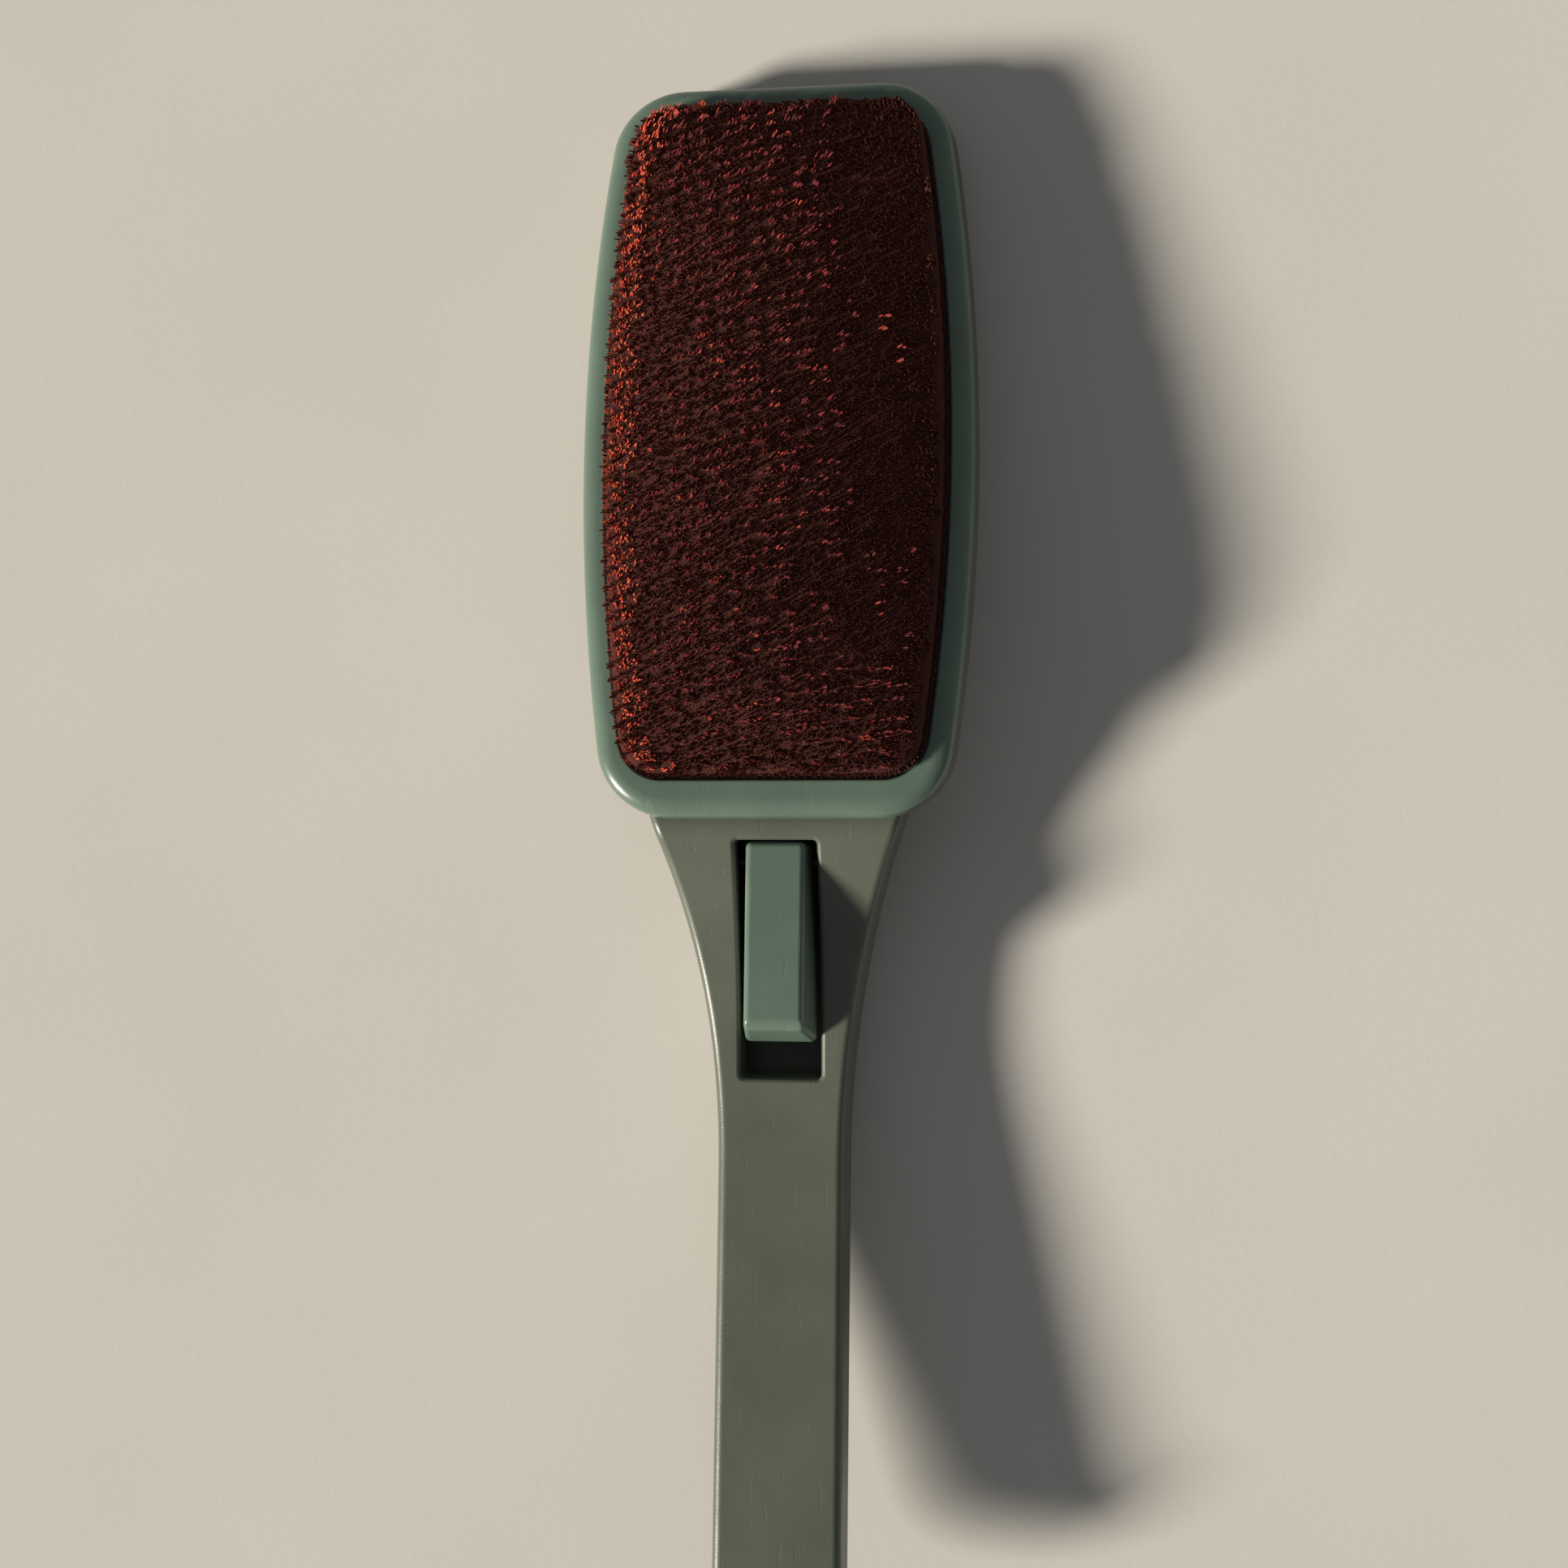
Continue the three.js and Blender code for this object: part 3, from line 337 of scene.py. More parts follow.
def circle(radius, z, x=0, y=0):
    angles = [2 * math.pi * i / ROUND_SIDES for i in range(ROUND_SIDES)]
    return [(x + radius * math.cos(angle), y + radius * math.sin(angle), z) for angle in angles]


def cylinder(name, radius, low, high, x=0, y=0, place=Matrix()):
    return loft(name, [circle(radius, z, x, y) for z in (low, high)], place)


def bake_modifiers(obj):
    """Applies the object's modifiers to its mesh."""
    graph = bpy.context.evaluated_depsgraph_get()
    mesh = bpy.data.meshes.new_from_object(obj.evaluated_get(graph))
    obj.modifiers.clear()
    old = obj.data
    obj.data = mesh
    bpy.data.meshes.remove(old)
    return obj


def combine(obj, other, operation):
    """Joins to, cuts from or clips with another closed mesh, which is used up."""
    boolean = obj.modifiers.new("combine", "BOOLEAN")
    boolean.operation = operation
    boolean.solver = "EXACT"
    boolean.object = other
    bake_modifiers(obj)
    bpy.data.objects.remove(other)
    return obj


def smooth(obj, sharp_over=SHARP_ANGLE):
    """Shades smooth, with edges kept sharp over an angle in degrees and flat faces kept flat."""
    obj.data.polygons.foreach_set("use_smooth", [True] * len(obj.data.polygons))
    obj.data.set_sharp_from_angle(angle=math.radians(sharp_over))
    normals = obj.modifiers.new("flat faces", "WEIGHTED_NORMAL")
    normals.keep_sharp = True
    return bake_modifiers(obj)


def dress(obj, material, body, slot, *nodes):
    """Finishes a piece: its material, its body and the nodes it stands for. The slot argument is not used.
    """
    obj.data.materials.clear()
    obj.data.materials.append(material)
    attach(obj, body)
    if nodes:
        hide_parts(*nodes)
    return obj


# Outlines


class Barrel:
    """An outline with bulging sides, flat ends and round corners, all moved inward by the inset."""

    def __init__(self, half_length, half_width, side_radius, corner_radius, inset=0):
        self.side_centre = half_width - side_radius
        self.corner_y = half_length - corner_radius
        reach = side_radius - corner_radius
        self.corner_x = self.side_centre + math.sqrt(reach**2 - self.corner_y**2)
        self.lean = math.atan2(self.corner_y, self.corner_x - self.side_centre)
        self.side_radius = side_radius - inset
        self.corner_radius = corner_radius - inset

    def points(self):
        quarter = []
        for i in range(SIDE_STEPS // 2):
            angle = self.lean * i * 2 / SIDE_STEPS
            x = self.side_centre + self.side_radius * math.cos(angle)
            quarter.append((x, self.side_radius * math.sin(angle)))
        for i in range(CORNER_STEPS + 1):
            angle = self.lean + (QUARTER_TURN - self.lean) * i / CORNER_STEPS
            x = self.corner_x + self.corner_radius * math.cos(angle)
            quarter.append((x, self.corner_y + self.corner_radius * math.sin(angle)))
        lower = [(x, -y) for x, y in quarter[1:]]
        end_y = self.corner_y + self.corner_radius
        end_row = [(self.corner_x * (1 - 2 * i / END_PIECES), end_y) for i in range(1, END_PIECES)]
        half = lower[::-1] + quarter + end_row
        return half + [(-x, -y) for x, y in half]

    def ring(self, height):
        return [(x, y, height) for x, y in self.points()]

    def half_width(self, y):
        away = abs(y)
        if away <= self.side_radius * math.sin(self.lean):
            return self.side_centre + math.sqrt(self.side_radius**2 - away**2)
        beyond = min(away - self.corner_y, self.corner_radius)
        return self.corner_x + math.sqrt(self.corner_radius**2 - beyond**2)


def head_outline(inset=0):
    return Barrel(head_half_length, head_width / 2, HEAD_SIDE_RADIUS, HEAD_CORNER_RADIUS, inset)


def opening_outline(inset=0):
    half_length = head_half_length - RIM_END_BAND
    half_width = head_width / 2 - RIM_SIDE_BAND
    return Barrel(half_length, half_width, HEAD_SIDE_RADIUS - RIM_SIDE_BAND, OPENING_CORNER_RADIUS, inset)


def tray_outline(inset=0):
    half_width = head_width / 2 + TRAY_MARGIN
    return Barrel(head_station, half_width, HEAD_SIDE_RADIUS + TRAY_MARGIN, HEAD_CORNER_RADIUS, inset)


# Handle form


def arc_rise(radius, run):
    within = min(abs(run), radius)
    return radius - math.sqrt(radius**2 - within**2)


def arc_then_slope(radius, slope, run):
    arc_run = radius * math.sin(slope)
    if run <= arc_run:
        return arc_rise(radius, run)
    return arc_rise(radius, arc_run) + (run - arc_run) * math.tan(slope)


def smooth_lower(a, b, blend):
    nearness = max(blend - abs(a - b), 0) / blend
    return min(a, b) - nearness**2 * blend / 4


def flick(station):
    return arc_rise(FLICK_RADIUS, max(station - (body_length - FLICK_LENGTH), 0))


def top_height(station):
    deck = TRAY_TIP_THICKNESS + station * math.tan(head_tilt)
    if station >= dip_station:
        grip = arc_then_slope(DIP_REAR_RADIUS, GRIP_RISE, station - dip_station)
        return dip_height + grip + flick(station)
    neck = dip_height + arc_rise(DIP_FRONT_RADIUS, dip_station - station)
    return smooth_lower(deck, neck, CREST_BLEND)


def under_height(station):
    tray = station * math.tan(TRAY_UNDERSIDE_TILT)
    if station >= belly_station:
        return arc_then_slope(BELLY_REAR_RADIUS, UNDERSIDE_RISE, station - belly_station) + flick(station)
    return smooth_lower(tray, arc_rise(BELLY_FRONT_RADIUS, belly_station - station), ARCH_BLEND)


def seam_height(station):
    return under_height(station) + SEAM_SHARE * (top_height(station) - under_height(station))


def half_width(station, inset=0):
    from_end = max(station - (body_length - END_CORNER_RADIUS), 0)
    corner_loss = arc_rise(END_CORNER_RADIUS - inset, from_end)
    flare = arc_rise(NECK_ARC_RADIUS, max(neck_arc_station - station, 0))
    neck = GRIP_WIDTH / 2 - inset - corner_loss + flare
    if station >= tray_length - inset:
        return neck
    tray = tray_outline(inset).half_width(station - head_station)
    return max(tray, neck) if station > tray_length - HEAD_CORNER_RADIUS else tray


def end_loss(station):
    """How much the rounding of both ends' edges takes off a face at a station."""
    from_end = min(station, body_length - station)
    return arc_rise(END_EDGE_RADIUS, max(END_EDGE_RADIUS - from_end, 0))


def spread(start, end, count):
    return [start + (end - start) * i / count for i in range(count)]


def body_stations(inset, detail):
    """Stations where the body is sectioned, close together where its form turns."""
    corner_run = HEAD_CORNER_RADIUS - inset
    end_run = END_CORNER_RADIUS - inset
    angles = quarter_angles(detail)
    corner = [inset + corner_run * (1 - math.cos(angle)) for angle in angles[:-1]]
    end = [body_length - END_CORNER_RADIUS + end_run * math.sin(angle) for angle in angles]
    marks = [
        HEAD_CORNER_RADIUS,
        tray_length - HEAD_CORNER_RADIUS,
        tray_length - inset,
        slot_station + PIN_SETBACK,
        belly_station,
        dip_station,
        neck_arc_station,
        body_length - FLICK_LENGTH,
        body_length - END_CORNER_RADIUS,
    ]
    middle = [station for low, high in zip(marks, marks[1:]) for station in spread(low, high, detail)]
    return corner + middle + end


def section(station, half_points):
    """A closed section, symmetric about X = 0, from the points of its right half from below up."""
    right = [(x, along_y(station), z) for x, z in half_points]
    return right + [(-x, y, z) for x, y, z in reversed(right)]


def top_section(station):
    half = half_width(station)
    low = seam_height(station) + FIT / 2
    high = top_height(station) - end_loss(station)
    right = [(half, low)]
    for angle in quarter_angles():
        x = half - SIDE_DRAFT - TOP_EDGE_RADIUS * (1 - math.cos(angle))
        right.append((x, high - TOP_EDGE_RADIUS * (1 - math.sin(angle))))
    return section(station, right)


def top_cavity_section(station):
    half = half_width(station, WALL)
    low, high = under_height(station) - OVERRUN, top_height(station) - WALL
    return section(station, [(half, low), (half - SIDE_DRAFT, high)])


def bottom_section(station):
    half = half_width(station)
    low = under_height(station) + end_loss(station)
    high = seam_height(station) - FIT / 2
    radius = min(UNDERSIDE_EDGE_RADIUS, UNDERSIDE_EDGE_SHARE * (high - low))
    right = []
    for angle in quarter_angles():
        right.append((half - radius * (1 - math.sin(angle)), low + radius * (1 - math.cos(angle))))
    return section(station, right + [(half, high)])


def bottom_cavity_section(station):
    half = half_width(station, WALL)
    low, high = under_height(station) + FLOOR, top_height(station) + OVERRUN
    return section(station, [(half, low), (half, high)])


# Handle pieces


def slot_block():
    """The walls round the lever slot, down to the seam."""
    half = SLOT_WIDTH / 2 + SLOT_WALL
    end = slot_end + SLOT_WALL
    rings = []
    for station in spread(slot_station - SLOT_WALL, end, EDGE_STEPS) + [end]:
        low = seam_height(station) + FIT / 2
        rings.append(section(station, [(half, low), (half, top_height(station) - WALL / 2)]))
    return loft("slot_block", rings)


def slot_ring(grow, drop):
    """The slot's outline, grown by a distance, at a depth under the handle's top."""
    half = SLOT_WIDTH / 2 + grow
    radius = SLOT_CORNER_RADIUS + grow
    low, high = slot_station - grow, slot_end + grow
    corners = [(1, low + radius, -1), (1, high - radius, 0), (-1, high - radius, 1), (-1, low + radius, 2)]
    points = []
    for side, centre_station, turn in corners:
        for i in range(EDGE_STEPS + 1):
            angle = QUARTER_TURN * (turn + i / EDGE_STEPS)
            x = side * (half - radius) + radius * math.cos(angle)
            points.append((x, centre_station + radius * math.sin(angle)))
        if turn in (-1, 1):
            far = high - radius if turn == -1 else low + radius
            points += [(side * half, station) for station in spread(centre_station, far, SLOT_STEPS)[1:]]
    return [(x, along_y(station), top_height(station) - drop) for x, station in points]


def slot_cutter():
    """The inside of the slot, widened at the top by its rounded rim."""
    rings = [slot_ring(0, OVERRUN + WALL + SLOT_WIDTH)]
    for angle in quarter_angles()[:-1]:
        drop = SLOT_RIM_RADIUS * (1 - math.sin(angle))
        rings.append(slot_ring(SLOT_RIM_RADIUS * (1 - math.cos(angle)), drop))
    rings.append(slot_ring(2 * SLOT_RIM_RADIUS, -SLOT_RIM_RADIUS / 4))
    rings.append(slot_ring(2 * SLOT_RIM_RADIUS, -OVERRUN))
    return loft("slot_cutter", rings)


def handle_top(material):
    """The upper shell: hollow, with the lever slot and the holes for the swivel."""
    shell = loft("handle_top", [top_section(station) for station in body_stations(0, BODY_STEPS)])
    cavity = loft("cavity", [top_cavity_section(s) for s in body_stations(WALL, EDGE_STEPS)])
    combine(shell, cavity, "DIFFERENCE")
    combine(shell, slot_block(), "UNION")
    combine(shell, slot_cutter(), "DIFFERENCE")
    hub_hole = cylinder("hub_hole", HUB_RADIUS + FIT, HUB_END - OVERRUN, OVERRUN, place=head_frame)
    combine(shell, hub_hole, "DIFFERENCE")
    recess_radius = HUB_RADIUS + WASHER_WIDTH + 3 * FIT
    recess = cylinder("recess", recess_radius, WASHER_UNDER - FIT, OVERRUN, place=head_frame)
    combine(shell, recess, "DIFFERENCE")
    return dress(smooth(shell), material, "handle", "handle_plastic", "handle_top_shell")


def screw_place(node):
    """Where a screw's axis stands and the level of its head's underside, from its node's box."""
    low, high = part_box(node)
    middle = (low + high) / 2 / MM
    return middle.x, middle.y, low.z / MM


def handle_bottom(material):
    """The lower shell: hollow, with bosses for its screws and a hole to the swivel's screw."""
    shell = loft("handle_bottom", [bottom_section(station) for station in body_stations(0, BODY_STEPS)])
    cavity = loft("cavity", [bottom_cavity_section(s) for s in body_stations(WALL, EDGE_STEPS)])
    combine(shell, cavity, "DIFFERENCE")
    for node in numbered("shell_screw_"):
        x, y, head_under = screw_place(node)
        station = body_length / 2 - y
        boss_low = under_height(station) + FLOOR / 2
        boss = cylinder("boss", SCREW_BOSS_RADIUS, boss_low, seam_height(station) - FIT / 2, x, y)
        combine(shell, boss, "UNION")
        sink_top = head_under + SCREW_HEAD_HEIGHT + FIT
        sink = cylinder("sink", SCREW_HEAD_RADIUS + FIT, -OVERRUN, sink_top, x, y)
        combine(shell, sink, "DIFFERENCE")
        hole = cylinder("hole", SCREW_SHANK_RADIUS + FIT, -OVERRUN, seam_height(station) + OVERRUN, x, y)
        combine(shell, hole, "DIFFERENCE")
    access_radius = SWIVEL_SCREW_HEAD_RADIUS + ACCESS_HOLE_MARGIN
    access_low = SWIVEL_SCREW_HEAD_UNDER - 2 * OVERRUN
    access = cylinder("access", access_radius, access_low, HUB_END, place=head_frame)
    combine(shell, access, "DIFFERENCE")
    return dress(smooth(shell), material, "handle", "handle_plastic", "handle_bottom_shell")


# Thumb lever, in a frame with its origin on the pin


def lever_block(name, inset, top_inset, foot):
    """The lever's wedge, drawn in by insets for its hollow, with its lower edges moved down by foot."""
    front = PIN_SETBACK - LEVER_FRONT_GAP
    tail = front - LEVER_TOP_LENGTH
    tail_height = LEVER_FRONT_HEIGHT + LEVER_TOP_LENGTH * math.tan(LEVER_TOP_SLOPE)
    tail_foot = tail - (tail_height + LEVER_TAIL_DEPTH) * math.tan(LEVER_END_SLOPE)
    top_half = LEVER_TOP_WIDTH / 2 - inset
    base_half = LEVER_BASE_WIDTH / 2 - inset
    rows = [
        (front - inset, LEVER_FRONT_HEIGHT - top_inset, top_half),
        (LEVER_HUB_RADIUS - inset, -LEVER_HUB_RADIUS - foot, base_half),
        (tail_foot + inset, -LEVER_TAIL_DEPTH - foot, base_half),
        (tail + inset, tail_height - top_inset, top_half),
    ]
    rings = [[(side * half, y, z) for y, z, half in rows] for side in (-1, 1)]
    return loft(name, rings, lever_frame)


def thumb_lever(material):
    """The lever: a hollow wedge with rounded edges, a hub and a bore for its pin."""
    lever = lever_block("lever", 0, 0, 0)
    tail_height = max(vertex.co.z for vertex in lever.data.vertices)
    weights = lever.data.attributes.new("bevel_weight_edge", "FLOAT", "EDGE")
    for edge in lever.data.edges:
        heights = [lever.data.vertices[i].co.z for i in edge.vertices]
        at_tail = min(heights) > tail_height - LEVER_EDGE_RADIUS * MM
        weights.data[edge.index].value = 1 if at_tail else LEVER_EDGE_RADIUS / LEVER_TAIL_RADIUS
    bevel = lever.modifiers.new("rounded edges", "BEVEL")
    bevel.width = LEVER_TAIL_RADIUS * MM
    bevel.segments = EDGE_STEPS
    bevel.limit_method = "WEIGHT"
    bake_modifiers(lever)
    combine(lever, lever_block("hollow", LEVER_WALL, LEVER_TOP_WALL, OVERRUN), "DIFFERENCE")
    across = lever_frame @ Matrix.Rotation(QUARTER_TURN, 4, "Y")
    half = LEVER_BASE_WIDTH / 2 - LEVER_EDGE_RADIUS
    combine(lever, cylinder("hub", LEVER_HUB_RADIUS - FIT, -half, half, place=across), "UNION")
    reach = LEVER_BASE_WIDTH
    bore = cylinder("bore", PIN_RADIUS + PIN_CLEARANCE, -reach, reach, place=across)
    combine(lever, bore, "DIFFERENCE")
    return dress(smooth(lever), material, "lever", "teal_plastic", "thumb_lever")


# Head pieces, in the head's frame


def rim(material):
    """The rim: one section swept round, from its foot up, over its band and down the opening."""
    rings = []
    for angle in quarter_angles():
        inset = RIM_FOOT_RADIUS * (1 - math.sin(angle))
        rings.append(head_outline(inset).ring(BASE_UNDER + RIM_FOOT_RADIUS * (1 - math.cos(angle))))
    for angle in quarter_angles(2 * EDGE_STEPS):
        inset = RIM_EDGE_RUN * (1 - math.cos(angle))
        rings.append(head_outline(inset).ring(-RIM_EDGE_RADIUS * (1 - math.sin(angle))))
    for angle in quarter_angles():
        grow = RIM_INNER_RADIUS * (1 - math.sin(angle))
        rings.append(opening_outline(-grow).ring(-RIM_INNER_RADIUS * (1 - math.cos(angle))))
    rings.append(opening_outline().ring(LIP_UNDER))
    rings.append(head_outline(RIM_WALL).ring(LIP_UNDER))
    rings.append(head_outline(RIM_WALL).ring(BASE_UNDER))
    band = smooth(loft("rim", rings, head_frame, closed=True))
    return dress(band, material, "head", "teal_plastic", "head_bezel")


def middle_in_head(node):
    """The middle of a node's box, in the head's frame."""
    low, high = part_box(node)
    middle = head_frame.inverted() @ ((low + high) / 2 / MM)
    return middle.x, middle.y, middle.z


def rim_base(material):
    """The plate that closes the rim from below, with the swivel's hub."""
    outline = RIM_WALL + FIT
    rings = [
        head_outline(outline + FIT).ring(BASE_UNDER),
        head_outline(outline).ring(BASE_UNDER + FIT),
        head_outline(outline).ring(BASE_TOP),
    ]
    base = loft("rim_base", rings, head_frame)
    hub = cylinder("hub", HUB_RADIUS, HUB_END, BASE_TOP - HEAD_BASE_THICKNESS / 2, place=head_frame)
    combine(base, hub, "UNION")
    bore_top = HUB_END + SWIVEL_SCREW_GRIP
    bore = cylinder("bore", SWIVEL_SCREW_RADIUS + FIT, HUB_END - OVERRUN, bore_top, place=head_frame)
    combine(base, bore, "DIFFERENCE")
    for node in numbered("bezel_screw_"):
        x, y, _ = middle_in_head(node)
        sink_top = BASE_UNDER + FIT + RIM_SCREW_HEAD_HEIGHT
        sink_radius = RIM_SCREW_HEAD_RADIUS + FIT
        sink = cylinder("sink", sink_radius, BASE_UNDER - OVERRUN, sink_top, x, y, head_frame)
        combine(base, sink, "DIFFERENCE")
    return dress(smooth(base), material, "head", "handle_plastic", "head_base")


# Pad


def cloth_height(x, y):
    """Height of the cloth's outer face over the rim's top plane."""
    across = min(abs(x) / pad_half_width, 1)
    along = min(abs(y) / pad_half_length, 1)
    return PAD_EDGE_HEIGHT + PAD_CROWN * (1 - across**2) * (1 - along**PAD_END_POWER)


def dome_rings(inset, depth, edge_radius):
    """Rings from the foot of the pad up its side, over its rounded edge and in to the middle."""
    rings = [opening_outline(CLOTH_GAP + inset).ring(FOAM_UNDER)]
    for angle in quarter_angles():
        outline = opening_outline(CLOTH_GAP + inset + edge_radius * (1 - math.cos(angle)))
        drop = depth + edge_radius * (1 - math.sin(angle))
        rings.append([(x, y, cloth_height(x, y) - drop) for x, y in outline.points()])
    inner = opening_outline(CLOTH_GAP + inset + edge_radius).points()
    for i in range(1, DOME_RINGS):
        share = 1 - i / DOME_RINGS
        drawn_in = [(x * share, y * share) for x, y in inner]
        rings.append([(x, y, cloth_height(x, y) - depth) for x, y in drawn_in])
    return rings


def nap_shift(point):
    """How far the nap at a point leans out over the rim: most at the tip, and only above its foot."""
    rise_share = min(max(point[2] - NAP_FOOT, 0) / NAP_RISE, 1)
    tip_share = (1 + point[1] / pad_half_length) / 2
    return Vector((-NAP_LEFT_SHIFT, NAP_TIP_SHIFT * tip_share, 0)) * rise_share


def pile_base(material):
    """The cloth with the dense lower part of its pile, leaning out over the rim, hollow over the foam."""
    upright = dome_rings(0, -PILE_BASE_HEIGHT, PILE_BASE_EDGE_RADIUS)
    outer = [[Vector(point) + nap_shift(point) for point in ring] for ring in upright]
    inner = dome_rings(CLOTH_THICKNESS, CLOTH_THICKNESS, CLOTH_EDGE_RADIUS)
    cloth = loft("pile_base", outer[::-1] + inner, head_frame)
    return dress(smooth(cloth, SOFT_SHARP_ANGLE), material, "head", "red_pile", "lint_pile")


def foam_core(material):
    inset = CLOTH_THICKNESS + FIT
    foam = loft("foam_core", dome_rings(inset, inset, CLOTH_EDGE_RADIUS), head_frame)
    return dress(smooth(foam, SOFT_SHARP_ANGLE), material, "head", "foam", "foam_pad")


def row_slope(x):
    """How steeply the rows of tufts rise to the right at a place across the pad."""
    bend = (math.tan(TUFT_LEFT_SLANT) - math.tan(TUFT_ROW_SLANT)) / pad_half_width
    return math.tan(TUFT_ROW_SLANT) - bend * x


def tuft_places():
    """Places of the tufts: rows across the pad, every second one shifted by half a column."""
    edge = opening_outline(CLOTH_GAP)
    rows = math.ceil((pad_half_length + pad_half_width) / TUFT_ROW_PITCH)
    columns = math.ceil(pad_half_width / TUFT_COLUMN_PITCH)
    for row in range(-rows, rows + 1):
        for column in range(-columns, columns + 1):
            x = (column + row % 2 / 2) * TUFT_COLUMN_PITCH
            y = row * TUFT_ROW_PITCH + x * row_slope(x / 2)
            if abs(y) > pad_half_length + TUFT_OVERLAP:
                continue
            if abs(x) < edge.half_width(min(abs(y), pad_half_length)) + TUFT_OVERLAP:
                yield x, y


def edge_distance(x, y, edge):
    """How far a place is inside the pad's outline, or 0 outside it."""
    return max(min(edge.half_width(min(abs(y), pad_half_length)) - abs(x), pad_half_length - abs(y)), 0)


def base_height(x, y, edge):
    """Height of the dense lower pile, which rounds off towards the edge of its outline."""
    drop = arc_rise(PILE_BASE_EDGE_RADIUS, max(PILE_BASE_EDGE_RADIUS - edge_distance(x, y, edge), 0))
    return cloth_height(x, y) + PILE_BASE_HEIGHT - drop


def base_normal(x, y, edge):
    step = TUFT_COLUMN_PITCH / 4
    slope_x = (base_height(x + step, y, edge) - base_height(x - step, y, edge)) / (2 * step)
    slope_y = (base_height(x, y + step, edge) - base_height(x, y - step, edge)) / (2 * step)
    return Vector((-slope_x, -slope_y, 1)).normalized()


def fibre(points, faces, root, tip, cut):
    """Adds one tapering fibre with a slanted cut end."""
    first = len(points)
    lean = (tip - root).normalized()
    side = lean.orthogonal().normalized()
    other = lean.cross(side)
    for middle, radius in ((root, FIBRE_ROOT_RADIUS), (tip, FIBRE_TIP_RADIUS)):
        for k in range(FIBRE_SIDES):
            angle = 2 * math.pi * k / FIBRE_SIDES
            points.append(middle + (side * math.cos(angle) + other * math.sin(angle)) * radius)
    points[-1] = points[-1] + lean * cut
    end = first + FIBRE_SIDES
    faces.append(tuple(reversed(range(first, end))))
    faces.append(tuple(range(end, end + FIBRE_SIDES)))
    for k in range(FIBRE_SIDES):
        after = (k + 1) % FIBRE_SIDES
        faces.append((first + k, first + after, end + after, end + k))


def clump_gloss_and_painted_light(x, y, edge, chance):
    """Shine from 0 to 1 of the fibres by a tuft, which also sets their colour as painted light: most along
    the left edge, painted as lit, and least on the right, painted as in shade.
    """
    half = edge.half_width(min(abs(y), pad_half_length))
    from_left = half + x
    # The band along the left edge is coloured as lit: painted light.
    if from_left < PAINTED_LIT_BAND + chance.gauss(0, PAINTED_LIT_BAND_SPREAD):
        return chance.uniform(PAINTED_LIT_EDGE_GLOSS, 1) if chance.random() < PAINTED_LIT_BAND_SHARE else 0
    if from_left > 2 * half - PAINTED_SHADE_RIGHT_MARGIN:
        return 0
    # Fewer towards the right, except near the neck end: painted shade on the right, and painted light at
    # the neck end.
    to_right = min(max(x / (pad_half_width * PAINTED_SHADE_FALL_SHARE), 0), 1)
    fall = to_right * min(max(pad_half_length + y, 0) / PAINTED_LIT_NECK_RUN, 1)
    share = GLOSS_AND_PAINTED_GLINT_SHARE + (PAINTED_SHADE_RIGHT_SHARE - GLOSS_AND_PAINTED_GLINT_SHARE) * fall
    return chance.uniform(LEAST_GLOSS, PAINTED_LIT_EDGE_GLOSS) if chance.random() < share else 0


def tuft_fibres(chance):
    """Tufts leaning left along their rows, with shinier fibres between the rows that lean back and whose
    colour is painted glints and painted light.
    """
    edge = opening_outline(CLOTH_GAP)
    root_end = pad_half_length - FIBRE_ROOT_RADIUS
    for x, y in tuft_places():
        normal = base_normal(x, y, edge)
        along_row = Vector((-1, -row_slope(x), 0)).normalized()
        lean = TUFT_LEAN + chance.gauss(0, TUFT_LEAN_SPREAD)
        sideways = Vector((0, 1, 0)) * math.sin(chance.gauss(0, TUFT_LEAN_SPREAD))
        direction = (normal * math.cos(lean) + along_row * math.sin(lean) + sideways).normalized()
        length = TUFT_LENGTH + chance.gauss(0, TUFT_LENGTH_SPREAD)
        # This value also picks the fibres' painted glint and painted light colour.
        tuft_gloss_and_painted_light = clump_gloss_and_painted_light(x, y, edge, chance)
        row_share = PAINTED_LIT_BAND_ROW_SHARE if tuft_gloss_and_painted_light > PAINTED_LIT_EDGE_GLOSS else GLOSSY_ROW_SHARE
        clear_of_row = row_share * TUFT_ROW_PITCH
        at_edge = edge_distance(x, y, edge) < TUFT_EDGE_RUN
        for _ in range(FIBRES_PER_EDGE_TUFT if at_edge else FIBRES_PER_TUFT):
            off_x = chance.uniform(-1, 1) * TUFT_COLUMN_PITCH / 2
            off_y = chance.uniform(-1, 1) * TUFT_ROW_PITCH / 2
            back = GLOSSY_LEAN + chance.gauss(0, GLOSSY_LEAN_SPREAD)
            root_x, root_y = x + off_x, y + off_y
            if abs(root_y) > root_end or abs(root_x) > edge.half_width(root_y) - FIBRE_ROOT_RADIUS:
                continue
            root = Vector((root_x, root_y, base_height(root_x, root_y, edge)))
            if tuft_gloss_and_painted_light and abs(off_y) > clear_of_row:
                way = normal * math.cos(back) + along_row * math.sin(back)
                yield root, normal, root + way * GLOSSY_LENGTH, tuft_gloss_and_painted_light
            else:
                gather = Vector((0, -off_y * TUFT_ROW_GATHER_SHARE, 0))
                yield root, normal, root + direction * length + gather, 0


